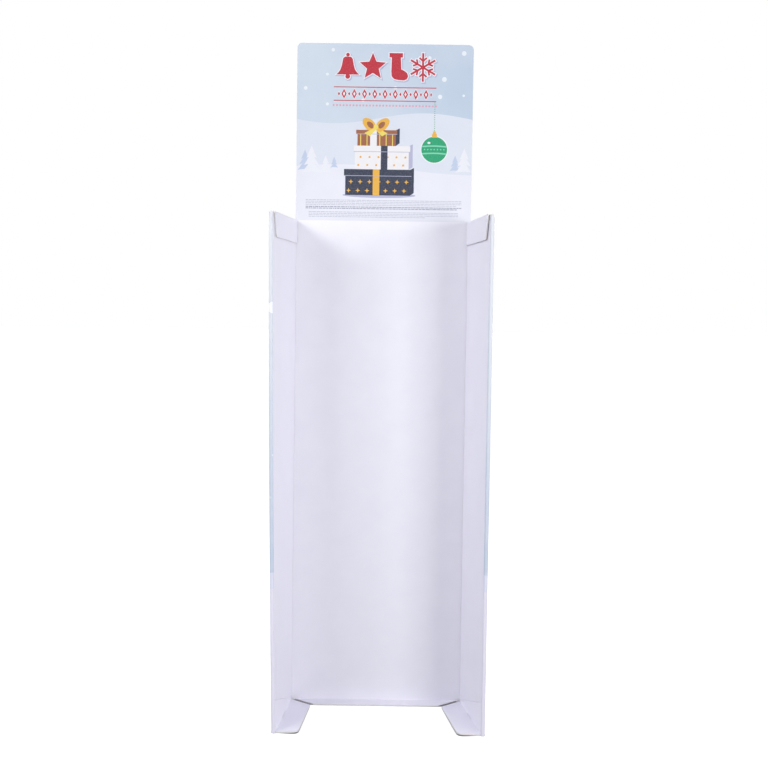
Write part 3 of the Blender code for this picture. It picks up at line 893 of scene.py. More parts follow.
def coated(name, base, pitch, field=None):
    """Clay-coated board: fine grain, faint mottling, and flutes that just show through."""
    material, make = new_material(name, base, COATED_ROUGHNESS)
    flat = make("ShaderNodeUVMap")
    flat.uv_map = "sheet"
    grain = make.noise(flat, GRAIN_SCALE, 3.0)
    mottle = make.noise(flat, MOTTLE_SCALE, 3.0)
    speck = make.span(grain, 0.25, 0.75, 0.985, 1.0)
    depth = make.maths("MULTIPLY", make.span(mottle, *MOST_NOISE, 0.975, 1.0), speck)
    blue = make.span(mottle, *MOST_NOISE, 0.985, 1.0)
    shades = make("ShaderNodeCombineColor", depth, depth, blue)
    under = field(make, flat) if field else base
    rough = make.span(mottle, *MOST_NOISE, COATED_ROUGHNESS - 0.04, COATED_ROUGHNESS + 0.06)
    make.shade(Base_Color=make.mix(1.0, under, shades, "MULTIPLY"), Roughness=rough)
    across = make("ShaderNodeSeparateXYZ", Vector=flat).outputs["X"]
    make.relief(make.maths("ADD", make.maths("MULTIPLY", make.ripple(across, pitch), FLUTE_RELIEF),
                           make.maths("MULTIPLY", grain, GRAIN_RELIEF)))
    return material


def bare_paper(name, base):
    """Uncoated paper with loose fibres."""
    material, make = new_material(name, base, PAPER_ROUGHNESS)
    where = make("ShaderNodeTexCoord").outputs["Object"]
    fibres = make.noise(make.stretched(where, 1, 1, 0.15), FIBRE_SCALE, 4.0)
    patches = make.noise(where, PATCH_SCALE, 2.0)
    tone = make.mix(make.span(fibres, *MOST_NOISE), darker(base, 0.85), base)
    make.shade(Base_Color=make.mix(make.span(patches, 0.35, 0.65, 0, 0.4), tone, base))
    make.relief(fibres, 0.6, 0.0001)
    return material


def hill(make, across, crest, swell, width, phase):
    """Height of a hill's crest at a place across the print."""
    rise = make.maths("SINE", make.maths("ADD", make.maths("DIVIDE", across, width), phase))
    return make.maths("ADD", make.maths("MULTIPLY", rise, swell), crest)


def above(make, height, crest, blur):
    """0 below a crest and 1 above it, over a narrow blur."""
    rise = make.maths("SUBTRACT", height, crest)
    return make.span(rise, -blur, blur)


def snow_hills(make, split, sky, far, near, snows, blur):
    """Sky over two hills, each given by its crest, swell, width and phase, in two snow colours."""
    across, height = split.outputs["X"], split.outputs["Y"]
    far_crest, near_crest = hill(make, across, *far), hill(make, across, *near)
    ground = make.mix(above(make, height, near_crest, blur), snows[1], snows[0])
    skyline = make.maths("MAXIMUM", far_crest, near_crest)
    return make.mix(above(make, height, skyline, blur), ground, sky)


def wing_print(colours):
    """Sky over snow hills, for the outer plies and the spines."""
    def field(make, flat):
        split = make("ShaderNodeSeparateXYZ", Vector=flat)
        sky = make.mix(make.span(split.outputs["Y"], *WING_SKY), colours.sky_deep, colours.sky_pale)
        cloud = make.noise(make.stretched(flat, 1, CLOUD_STRETCH, 1), CLOUD_SCALE, 3.0)
        sky = make.mix(make.span(cloud, 0.5, 0.72, 0, 0.4), sky, colours.sky_pale)
        snow = []
        for scale, core, edge, white in WING_SNOW:
            cells = make("ShaderNodeTexVoronoi", Vector=flat, Scale=scale, Randomness=1.0)
            snow.append(make.span(cells.outputs["Distance"], core, edge, white, 0))
        sky = make.mix(make.maths("MAXIMUM", *snow), sky, colours.flake)
        for x, z, radius in WING_DOTS:
            away = make("ShaderNodeVectorMath", flat, (x, z, 0))
            away.operation = "DISTANCE"
            dot = make.span(away.outputs["Value"], radius, radius + WING_DOT_BLUR, 1, 0)
            sky = make.mix(dot, sky, colours.flake_bright)
        snows = (colours.wing_far_snow, colours.wing_near_snow)
        picture = snow_hills(make, split, sky, WING_FAR_HILL, WING_NEAR_HILL, snows, WING_HILL_BLUR)
        # Painted shade: the right half of the print is mixed towards black, for the shade on that
        # side
        right = make.span(split.outputs["X"], -0.1, 0.1, 0, colours.right_painted_shade)
        return make.mix(right, picture, (0, 0, 0))
    return field


def card_print(card, colours):
    """Sky over a hill behind and a hill in front, for the whole header card."""
    def field(make, flat):
        split = make("ShaderNodeSeparateXYZ", Vector=flat)
        side = make.span(split.outputs["X"], *CARD_SKY)
        sky = make.mix(side, colours.sky_left, colours.sky_right)
        glow = make.span(make.noise(flat, CARD_GLOW_SCALE, 1.0), 0.4, 0.65, 0, 0.25)
        sky = make.mix(glow, sky, colours.far_snow)
        far = (card.far_hill, card.far_swell, *CARD_FAR_WAVE)
        near = (card.near_hill, card.near_swell, *CARD_NEAR_WAVE)
        snows = (colours.far_snow, colours.near_snow)
        return snow_hills(make, split, sky, far, near, snows, CARD_HILL_BLUR)
    return field


def ink(name, colours):
    """Printed ink of one of the named colours: even, with a faint unevenness of the press."""
    known = bpy.data.materials.get("ink_" + name)
    if known:
        return known
    base = tuple(getattr(colours, name))
    material, make = new_material("ink_" + name, base, INK_ROUGHNESS)
    press = make.noise(make("ShaderNodeTexCoord").outputs["Object"], PRESS_SCALE, 3.0)
    thin = tuple(channel + (1 - channel) * 0.05 for channel in base)
    rough = make.span(press, *MOST_NOISE, INK_ROUGHNESS - 0.03, INK_ROUGHNESS + 0.05)
    make.shade(Base_Color=make.mix(make.span(press, 0.45, 0.75), base, thin), Roughness=rough)
    return material


def settings(context):
    return context.scene.display_stand


def finish_piece(piece):
    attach(piece, BODY)


class DISPLAYSTAND_OT_folded_board(Operator):
    """Builds the folded sheet as it is made: two coated liners with waved fluting between them"""

    bl_idname = "display_stand.folded_board"
    bl_label = "Folded board"

    def execute(self, context):
        stand = settings(context)
        board, sheet, colours = stand.board, stand.sheet, stand.colours
        inside = coated("board_inside", colours.inside, board.pitch)
        outside = coated("board_outside", colours.outside, board.pitch)
        printed = coated("board_printed", colours.sky_deep, board.pitch, wing_print(colours))
        kraft = bare_paper("kraft_liner", colours.kraft)
        plans = [SheetPlan(sheet, board, side) for side in (1, -1)]
        backs = [outside, printed, kraft, kraft]
        inner = self.liner("inner_liner", plans, 0, [inside, kraft], board)
        outer = self.liner("outer_liner", plans, board.thickness, backs, board)
        core = self.fluting(plans, board, bare_paper("fluting_paper", colours.medium))
        edge = self.pressed_edge(plans, board, kraft)
        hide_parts("body_sheet")
        for piece in (inner, outer, core, edge):
            finish_piece(piece)
        return {"FINISHED"}

    def liner(self, name, plans, depth, materials, board):
        halves = []
        for plan in plans:
            blank = creased_blank(plan, board.fold_steps, plan.sheet.support)
            cut_rows(blank, plan, board.rows)
            score(blank, plan)
            lay_flat_map(blank, plan.side)
            if depth:
                self.mark_print(blank, plan)
                bmesh.ops.reverse_faces(blank, faces=blank.faces)
            fold_layer(blank, plan, depth)
            halves.append(blank)
        piece = join_halves(name, halves, materials)
        return thicken(piece, board.liner, len(materials) // 2)

    def mark_print(self, blank, plan):
        """The print covers the outer ply and the spine, up to the inner ply and the cap."""
        for face in blank.faces:
            middle = face.calc_center_bounds()
            if plan.back_bend[0] < middle.x < sum(plan.inner_bend) and middle.z < plan.cap_bend:
                face.material_index = 1

    def fluting(self, plans, board, paper):
        step = board.pitch / board.wave_steps
        halves = []
        for plan in plans:
            blank = creased_blank(plan, board.core_steps, 0)
            if plan.bow:
                cut_rows(blank, plan, board.rows // 2, (plan.back_bend[0], math.inf))
            score(blank, plan)
            columns = [step * count for count in range(1, int(plan.sheet_edge / step) + 1)]
            cut_columns(blank, list(blank.faces), columns)
            lay_flat_map(blank, plan.side)
            halves.append(self.waved(blank, plan, board, paper))
        core = join_halves("fluting", halves, [paper])
        return thicken(core, board.medium, 0, middle=True)

    def pressed_edge(self, plans, board, paper):
        """Paper just behind the sheet's cut edges, where the die presses the fluting shut."""
        halves = []
        for plan in plans:
            line = grown([(point[0], point[2]) for point in plan.outline()], -board.edge_inset)
            line[0], line[-1] = (0, line[0][1]), (0, line[-1][1])
            band = bmesh.new()
            depths = (board.liner + board.play, board.thickness - board.liner - board.play)
            near, far = ([band.verts.new((x, depth, z)) for x, z in line] for depth in depths)
            for index in range(len(line) - 1):
                if not self.mitred(plan, near[index].co - near[index + 1].co, near[index].co.z):
                    band.faces.new([near[index], near[index + 1], far[index + 1], far[index]])
            loose = [vert for vert in band.verts if not vert.link_faces]
            bmesh.ops.delete(band, geom=loose, context="VERTS")
            crease(band, plan, board.fold_steps, 0)
            cut_rows(band, plan, board.rows)
            fold_layer(band, plan, 0)
            halves.append(band)
        edge = join_halves("pressed_edge", halves, [paper])
        return thicken(edge, board.medium, 0, middle=True)

    def mitred(self, plan, step, height):
        """Whether a step of the outline is the slanting cut between a foot and the back flap."""
        return height < plan.foot_bend and min(abs(step.x), abs(step.z)) > SLANT

    def waved(self, blank, plan, board, paper):
        """Waves half of the flat core with geometry nodes and then folds it up."""
        homes = points_of(blank)
        half = wave(shaped_piece("core", blank), board, paper)
        waved = bmesh.new()
        waved.from_mesh(half.data)
        bpy.data.objects.remove(half)
        fold_layer(waved, plan, board.thickness / 2, homes)
        return waved


class DISPLAYSTAND_OT_header_board(Operator):
    """Builds the header card of the same board, printed on its front and plain behind"""

    bl_idname = "display_stand.header_board"
    bl_label = "Header board"

    def execute(self, context):
        stand = settings(context)
        board, card, colours = stand.board, stand.card, stand.colours
        printed = coated("card_print", colours.near_snow, board.pitch, card_print(card, colours))
        plain = coated("header_rear", colours.outside, board.pitch)
        kraft = bare_paper("header_kraft", colours.kraft)
        front = self.liner("header_front", 0, [printed, kraft], stand)
        rear = self.liner("header_back", board.thickness, [plain, kraft], stand)
        core = self.fluting(bare_paper("header_fluting", colours.medium), stand)
        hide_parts("header_card")
        for piece in (front, rear, core):
            finish_piece(piece)
        return {"FINISHED"}

    def blank(self, stand):
        """The card as one flat face, with its places measured from the body's top edge."""
        low, high = CARD_LOW.z - BODY_HIGH.z, CARD_HIGH.z - BODY_HIGH.z
        points = [place(-CARD_HALF, low), place(CARD_HALF, low),
                  place(CARD_HALF, high), place(-CARD_HALF, high)]
        corners = {2: stand.card.corner, 3: stand.card.corner}
        return outline_face(rounded(points, corners, stand.board.corner_steps))

    def liner(self, name, depth, materials, stand):
        blank = self.blank(stand)
        lay_flat_map(blank, 1)
        if depth:
            bmesh.ops.reverse_faces(blank, faces=blank.faces)
        set_on_card(blank.verts, depth)
        return thicken(shaped_piece(name, blank, materials), stand.board.liner)

    def fluting(self, paper, stand):
        board, blank = stand.board, self.blank(stand)
        step = board.pitch / board.wave_steps
        reach = int(CARD_HALF / step)
        cut_columns(blank, list(blank.faces), [step * count for count in range(-reach, reach + 1)])
        lay_flat_map(blank, 1)
        core = wave(shaped_piece("header_core", blank, [paper]), board, paper)
        set_on_card(core.data.vertices, board.thickness / 2)
        return thicken(core, board.medium, 0, middle=True)


def set_on_card(points, depth):
    """Moves what was made about the middle of the body's top edge to its depth in the card."""
    shift = Vector((CARD_MIDDLE, CARD_LOW.y + depth, BODY_HIGH.z))
    for point in points:
        point.co += shift


class Printer:
    """Makes thin closed shapes of ink that lie on the header card's front."""

    def __init__(self, name, step):
        self.name, self.step = name, step
        self.shapes = bmesh.new()
        self.materials = []

    def add(self, outline, layer, material):
        """Adds a filled outline of (across, height) points; higher layers cover lower ones."""
        if material not in self.materials:
            self.materials.append(material)
        face = self.shapes.faces.new([self.shapes.verts.new((x, 0, z)) for x, z in outline])
        face.normal_update()
        if face.normal.y > 0:
            face.normal_flip()
        face.material_index = self.materials.index(material)
        thick = self.step * (layer + 1)
        solid = bmesh.ops.extrude_face_region(self.shapes, geom=[face])
        fronts = [part for part in solid["geom"] if isinstance(part, bmesh.types.BMVert)]
        for vert in fronts:
            vert.co.y -= thick
        face.normal_flip()

    def finish(self):
        """Sets the shapes on the card and makes them a piece."""
        set_on_card(self.shapes.verts, self.step / 2)
        bmesh.ops.recalc_face_normals(self.shapes, faces=self.shapes.faces)
        finish_piece(shaped_piece(self.name, self.shapes, self.materials))


def circle(x, z, radius, steps=28, stretch=1.0):
    """Round outline, or an oval one."""
    turns = [2 * math.pi * step / steps for step in range(steps)]
    return [(x + radius * math.cos(turn), z + radius * stretch * math.sin(turn)) for turn in turns]


def box(x, z, width, height):
    """Upright rectangle from the middle of its lower edge."""
    half = width / 2
    return [(x - half, z), (x + half, z), (x + half, z + height), (x - half, z + height)]


def moved(outline, x, z, scale=1.0, turn=0.0):
    """Outline scaled, turned and then moved."""
    cosine, sine = math.cos(turn) * scale, math.sin(turn) * scale
    return [(x + a * cosine - b * sine, z + a * sine + b * cosine) for a, b in outline]


def grown(outline, by):
    """Outline moved outwards along its corners' bisectors."""
    points = [Vector(point) for point in outline]
    area = sum(a.x * b.y - b.x * a.y for a, b in zip(points, points[1:] + points[:1]))
    turn = 1 if area > 0 else -1
    wider = []
    for index, corner in enumerate(points):
        before = (corner - points[index - 1]).normalized()
        after = (points[(index + 1) % len(points)] - corner).normalized()
        normals = [Vector((edge.y, -edge.x)) * turn for edge in (before, after)]
        bisector = (normals[0] + normals[1]).normalized()
        reach = by / max(0.5, bisector.dot(normals[0]))
        wider.append(tuple(corner + bisector * reach))
    return wider


def star(radius, points=5, waist=0.45):
    turns = [SQUARE + math.pi * step / points for step in range(2 * points)]
    radii = [radius, radius * waist] * points
    return [(reach * math.cos(turn), reach * math.sin(turn)) for reach, turn in zip(radii, turns)]


def bell(reach):
    """Outline of a hand bell's body, and its clapper and loop."""
    side = []
    for step in range(15):
        part = step / 14
        flare = 0.30 + 0.16 * math.sin(part * SQUARE) + 0.36 * part ** 5
        side.append((reach * flare * min(1, math.sqrt(part * 6)), reach * (0.78 - 1.35 * part)))
    body = side + [(-x, z) for x, z in reversed(side)]
    clapper, loop = ((-0.70, 0.17), (0.82, 0.13))
    return [body[1:-1], *(circle(0, z * reach, radius * reach) for z, radius in (clapper, loop))]


def snowflake(reach):
    """Six arms with side branches."""
    arm = [(-0.07, 0), (-0.07, 0.42), (-0.30, 0.62), (-0.22, 0.72), (-0.07, 0.58), (-0.07, 1),
           (0.07, 1), (0.07, 0.58), (0.22, 0.72), (0.30, 0.62), (0.07, 0.42), (0.07, 0)]
    arm = [(x * reach, z * reach) for x, z in arm]
    return [moved(arm, 0, 0, 1, turn * math.pi / 3) for turn in range(6)]


def stocking(reach):
    """A stocking with its cuff."""
    leg = [(-0.40, 0.62), (-0.42, -0.30), (-0.40, -0.58), (-0.24, -0.76), (0.02, -0.82),
           (0.40, -0.84), (0.58, -0.76), (0.66, -0.58), (0.60, -0.38), (0.42, -0.24),
           (0.22, -0.14), (0.18, 0.62)]
    leg = [(x * reach, z * reach) for x, z in reversed(leg)]
    return [leg, box(-0.12 * reach, 0.60 * reach, 0.86 * reach, 0.28 * reach)]


def dot_tree(name, scatter):
    """Geometry nodes that set small closed discs along a line, or scatter them over a face."""
    tree, make, given = new_tree(name, Size="Float", Least="Float", Spacing="Float",
                                 Density="Float", Seed="Int", Sides="Int", Depth="Float")
    if scatter:
        points = make("GeometryNodeDistributePointsOnFaces")
        points.distribute_method = "POISSON"
        ties = {"Mesh": "Geometry", "Distance Min": "Spacing", "Density Max": "Density",
                "Seed": "Seed"}
        for socket, source in ties.items():
            make.set(points.inputs[socket], given[source])
    else:
        curve = make("GeometryNodeMeshToCurve", Mesh=given["Geometry"])
        points = make("GeometryNodeCurveToPoints", Curve=curve)
        points.mode = "LENGTH"
        make.set(points.inputs["Length"], given["Spacing"])
    dot = make("GeometryNodeMeshCylinder", Vertices=given["Sides"], Radius=0.5,
               Depth=given["Depth"])
    chance = make("FunctionNodeRandomValue", Seed=given["Seed"])
    chance.data_type = "FLOAT"
    floats = [socket for socket in chance.inputs if socket.type == "VALUE" and socket.enabled]
    for socket, source in zip(floats, ("Least", "Size")):
        make.set(socket, given[source])
    wide = chance.outputs[1]
    size = make("ShaderNodeCombineXYZ", wide, wide, 1.0)
    copies = make("GeometryNodeInstanceOnPoints", Points=points, Instance=dot,
                  Rotation=(SQUARE, 0, 0), Scale=size)
    return end_tree(tree, make, given, copies)


def guide(name, points, material, face=False):
    """A line or a face on the header card's front, for geometry nodes to follow or to cover."""
    mesh = bpy.data.meshes.new(name)
    mesh.materials.append(material)
    places = [(CARD_MIDDLE + x, CARD_LOW.y, BODY_HIGH.z + z) for x, z in points]
    order = range(len(points))
    mesh.from_pydata(places, [] if face else list(zip(order, order[1:])), [order] if face else [])
    return add_piece(name, mesh)


def print_dots(piece, card, material, tree, **sizes):
    """Prints dots by geometry nodes along or over a guide."""
    run_tree(piece, tree, Seed=card.seed, Material=material, **sizes)
    finish_piece(piece)


class DISPLAYSTAND_OT_header_heading(Operator):
    """Prints the row of red icons, the garland of diamonds and the line of dots"""

    bl_idname = "display_stand.header_heading"
    bl_label = "Header heading"

    def execute(self, context):
        stand = settings(context)
        card, colours = stand.card, stand.colours
        red, rose, halo, shade = (ink(name, colours) for name in ("red", "rose", "halo", "shade"))
        icons = Printer("heading_icons", card.ink)
        reach = card.icon_reach
        designs = [bell(reach * 0.9), [star(reach * 0.88)], stocking(reach), snowflake(reach * 0.9)]
        for number, design in enumerate(designs):
            x = card.icon_pitch * (number - (len(designs) - 1) / 2)
            for part, outline in enumerate(design):
                middle = moved(outline, x, card.icon_middle)
                offset = part * 0.05
                icons.add(moved(grown(middle, ICON_SHADE), *SHADE_SHIFT), offset, shade)
                icons.add(grown(middle, ICON_HALO), 1 + offset, halo)
                icons.add(middle, 2 + offset, red)
        icons.finish()
        self.garland(card, red, halo)
        self.dots(card, rose)
        return {"FINISHED"}

    def garland(self, card, red, halo):
        garland = Printer("heading_garland", card.ink)
        wide, tall = GARLAND_STEP, DIAMOND_HEIGHT
        count = int(card.garland_width / wide)
        for number in range(count):
            x = (number - (count - 1) / 2) * wide
            size = 1.0 if number % 2 else SMALL_DIAMOND
            diamond = [(x - wide / 2 * size, 0), (x, -tall / 2 * size),
                       (x + wide / 2 * size, 0), (x, tall / 2 * size)]
            lifted = moved(diamond, 0, card.garland_height)
            garland.add(grown(lifted, 0.0011), 0, halo)
            garland.add(lifted, 1, red)
            if number % 2:
                garland.add(moved(diamond, x * 0.55, card.garland_height, 0.45), 2, halo)
        for offset in RULE_OFFSETS:
            rule = box(0, card.garland_height + offset, card.garland_width, RULE_HEIGHT)
            garland.add(rule, 1, red)
        garland.finish()

    def dots(self, card, rose):
        half = card.garland_width / 2
        ends = [(-half, card.dotted_height), (half, card.dotted_height)]
        print_dots(guide("heading_dots", ends, rose), card, rose, dot_tree("Dotted line", False),
                   Size=LINE_DOT, Least=LINE_DOT, Spacing=LINE_SPACING, Sides=16,
                   Depth=2 * card.ink)


class DISPLAYSTAND_OT_header_picture(Operator):
    """Prints the stack of parcels and the green bauble on its dotted string"""

    bl_idname = "display_stand.header_picture"
    bl_label = "Header picture"

    def execute(self, context):
        stand = settings(context)
        card, colours = stand.card, stand.colours
        names = ("navy", "cream", "gold", "brown", "straw", "green", "green_light", "halo", "shade")
        inks = {name: ink(name, colours) for name in names}
        self.parcels(card, inks)
        self.bauble(card, inks)
        return {"FINISHED"}

    def parcels(self, card, inks):
        """Three parcels, each with a lid and ribbon, on top of one another."""
        picture = Printer("parcels", card.ink)
        base = card.gift_base
        picture.add(circle(PARCEL_MIDDLE, base, *PARCEL_SHADOW), 0, inks["shade"])
        for paper, ribbon, width, height, lean in PARCELS:
            x, top = PARCEL_MIDDLE + lean, base + height
            edge, far_edge = x + width / 2, x + width / 2 + SIDE_WIDTH
            side = [(edge, base), (far_edge, base + SIDE_LOW_RISE),
                    (far_edge, top + SIDE_TOP_RISE), (edge, top)]
            picture.add(side, 1, inks["shade" if paper == "cream" else "navy"])
            picture.add(box(x, base, width, height), 2, inks[paper])
            self.pattern(picture, inks, paper, x, base, width, height)
            picture.add(box(x + lean, base, RIBBON_WIDTH, height), 4, inks[ribbon])
            lid = height * LID_SHARE
            cover = width + LID_OVERHANG
            picture.add(box(x, top - lid, cover, lid), 5, inks[paper])
            picture.add(box(x, top - lid - LID_SHADOW, cover, LID_SHADOW), 5.5, inks["shade"])
            picture.add(box(x + lean, top - lid, RIBBON_WIDTH, lid), 6, inks[ribbon])
            base = top
        self.bow(picture, inks, PARCEL_MIDDLE + BOW_SHIFT, base)
        picture.finish()

    def pattern(self, picture, inks, paper, x, base, width, height):
        """Small gold motifs printed on each parcel."""
        if paper == "brown":
            for step in range(STRIPES):
                stripe = x - width / 2 + width * (step + 0.5) / STRIPES
                picture.add(box(stripe, base, STRIPE_WIDTH, height), 3, inks["straw"])
            return
        columns = 7 if paper == "navy" else 6
        for column in range(columns):
            for row in range(MOTIF_ROWS):
                across = x + width * ((column + 0.5 + 0.25 * (row % 2)) / columns - 0.52)
                up = base + height * (0.18 + 0.34 * row)
                motif = star(0.0062, 4, 0.38) if paper == "navy" else circle(0, 0, 0.0028, 14)
                picture.add(moved(motif, across, up), 3, inks["gold"])

    def bow(self, picture, inks, x, base):
        """Two loops, two tails and a knot."""
        turns = [math.pi * step / 24 for step in range(24)]
        for side in (-1, 1):
            loop = [(side * 0.034 * math.sin(turn) ** 2 * (1 + 0.25 * math.cos(turn)),
                     0.021 * math.sin(2 * turn) * 0.8 + 0.010 * math.sin(turn) ** 2)
                    for turn in turns]
            hollow = moved(loop, x + side * 0.006, base + 0.010, 0.5)
            tail = [(side * 0.002, 0), (side * 0.030, -0.014), (side * 0.022, -0.018),
                    (side * 0.016, -0.022), (side * 0.0, -0.006)]
            picture.add(moved(tail, x, base + 0.006), 7, inks["straw"])
            picture.add(moved(loop, x, base + 0.008), 7 + side * 0.2, inks["gold"])
            picture.add(hollow, 8, inks["brown"])
        picture.add(circle(x, base + 0.008, 0.0062, 18), 9, inks["straw"])

    def bauble(self, card, inks):
        ball = Printer("bauble", card.ink)
        x, z, radius = card.bauble_across, card.bauble_height, card.bauble_radius
        ball.add(circle(x, z, radius + BAUBLE_RIM, 48), 0, inks["halo"])
        ball.add(circle(x, z, radius, 48), 1, inks["green"])
        for height in BAND_HEIGHTS:
            half = radius * math.sqrt(1 - height ** 2) * BAND_REACH
            steps = [part / 12 for part in range(-12, 13)]
            rises = [height - BAND_DIP + BAND_RISE * math.cos(part * SQUARE) for part in steps]
            low = [(x + half * part, z + radius * rise) for part, rise in zip(steps, rises)]
            high = [(a, b + radius * BAND_BREADTH) for a, b in reversed(low)]
            ball.add(low + high, 2, inks["green_light"])
        for part in range(-3, 4):
            spot = circle(x + part * radius * 0.25, z + radius * 0.01, radius * 0.055, 12)
            ball.add(spot, 2, inks["green_light"])
        glint = circle(x - radius * 0.42, z + radius * 0.52, radius * 0.12, 16, 0.7)
        ball.add(glint, 3, inks["halo"])
        cap = [(-0.007, -0.002), (0.007, -0.002), (0.0055, 0.008), (-0.0055, 0.008)]
        ball.add(moved(cap, x, z + radius), 2, inks["gold"])
        ball.add(circle(x, z + radius + 0.0105, 0.0038, 18), 1.5, inks["gold"])
        ball.finish()
        ends = [(x, z + radius + STRING_FOOT), (x, card.garland_height - STRING_TOP)]
        string = guide("bauble_string", ends, inks["green"])
        print_dots(string, card, inks["green"], dot_tree("Dotted string", False),
                   Size=STRING_DOT, Least=STRING_DOT, Spacing=STRING_SPACING, Sides=10,
                   Depth=2 * card.ink)


class DISPLAYSTAND_OT_header_landscape(Operator):
    """Prints the firs on the hills and the snow in the air"""

    bl_idname = "display_stand.header_landscape"
    bl_label = "Header landscape"

    def execute(self, context):
        stand = settings(context)
        card, colours = stand.card, stand.colours
        firs = Printer("firs", card.ink)
        for number, (x, foot, tall, name) in enumerate(FIRS):
            self.fir(firs, x, foot, tall, number * 0.05, ink(name, colours))
        firs.finish()
        self.flakes(card, ink("flake", colours))
        return {"FINISHED"}

    def fir(self, firs, x, foot, tall, layer, material):
        """Three tiers, each a triangle with a hollow lower edge."""
        half_card = CARD_HALF - FIR_MARGIN
        parts = [step / 6 for step in range(-6, 7)]
        for tier, (low, high, wide) in enumerate(FIR_TIERS):
            edge = [(x + tall * wide * part, foot + tall * (low + FIR_HOLLOW * (1 - part * part)))
                    for part in parts]
            outline = edge + [(x, foot + tall * high)]
            outline = [(max(-half_card, min(half_card, a)), b) for a, b in outline]
            firs.add(self.without_doubles(outline), layer + tier * 0.01, material)

    def without_doubles(self, outline):
        """The outline without points that fell on one another at the card's edge."""
        return [point for index, point in enumerate(outline)
                if math.dist(point, outline[index - 1]) > TOUCH]

    def flakes(self, card, material):
        half, low = CARD_HALF - FLAKE_SIDE, card.far_hill + FLAKE_FOOT
        high = CARD_HIGH.z - BODY_HIGH.z - FLAKE_TOP
        snow = guide("flakes", box(0, low, 2 * half, high - low), material, face=True)
        density = card.flakes / ((high - low) * 2 * half)
        print_dots(snow, card, material, dot_tree("Flakes", True), Size=FLAKE_SIZE,
                   Least=FLAKE_LEAST, Spacing=FLAKE_SPACING, Density=density, Sides=20,
                   Depth=card.ink)


class DISPLAYSTAND_OT_header_hairlines(Operator):
    """Prints the faint broken hairlines along the header's foot"""

    bl_idname = "display_stand.header_hairlines"
    bl_label = "Header hairlines"

    def execute(self, context):
        stand = settings(context)
        chance = random.Random(stand.card.seed)
        lines = Printer("hairlines", stand.card.ink)
        for top, count, half, tall, name in HAIRLINES:
            grey = ink(name, stand.colours)
            for row in range(count):
                reach = half if row < count - 1 else half * chance.uniform(0.5, 0.95)
                self.row(lines, -half, reach, top - row * HAIRLINE_STEP, tall, chance, grey)
        lines.finish()
        return {"FINISHED"}

    def row(self, lines, start, end, height, tall, chance, material):
        """Dashes of uneven length with small gaps."""
        while start < end:
            dash = min(chance.uniform(*DASH_LENGTH), end - start)
            if dash > SHORTEST_DASH:
                lines.add(box(start + dash / 2, height, dash, tall), 0, material)
            start += dash + DASH_GAP


class DISPLAYSTAND_OT_foam_tape(Operator):
    """Gives the two strips of foam tape their finish"""

    bl_idname = "display_stand.foam_tape"
    bl_label = "Foam tape"

    def execute(self, context):
        base = tuple(settings(context).colours.foam)
        material, make = new_material("foam", base, FOAM_ROUGHNESS)
        where = make("ShaderNodeTexCoord").outputs["Object"]
        cells = make("ShaderNodeTexVoronoi", Vector=where, Scale=CELL_SCALE).outputs["Distance"]
        make.shade(Base_Color=make.mix(make.span(cells, 0.1, 0.5), darker(base, 0.8), base))
        make.relief(cells, 0.5, 0.0002)
        for name in ("tape_upper", "tape_lower"):
            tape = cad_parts[name]
            tape.data.materials.clear()
            tape.data.materials.append(material)
        return {"FINISHED"}


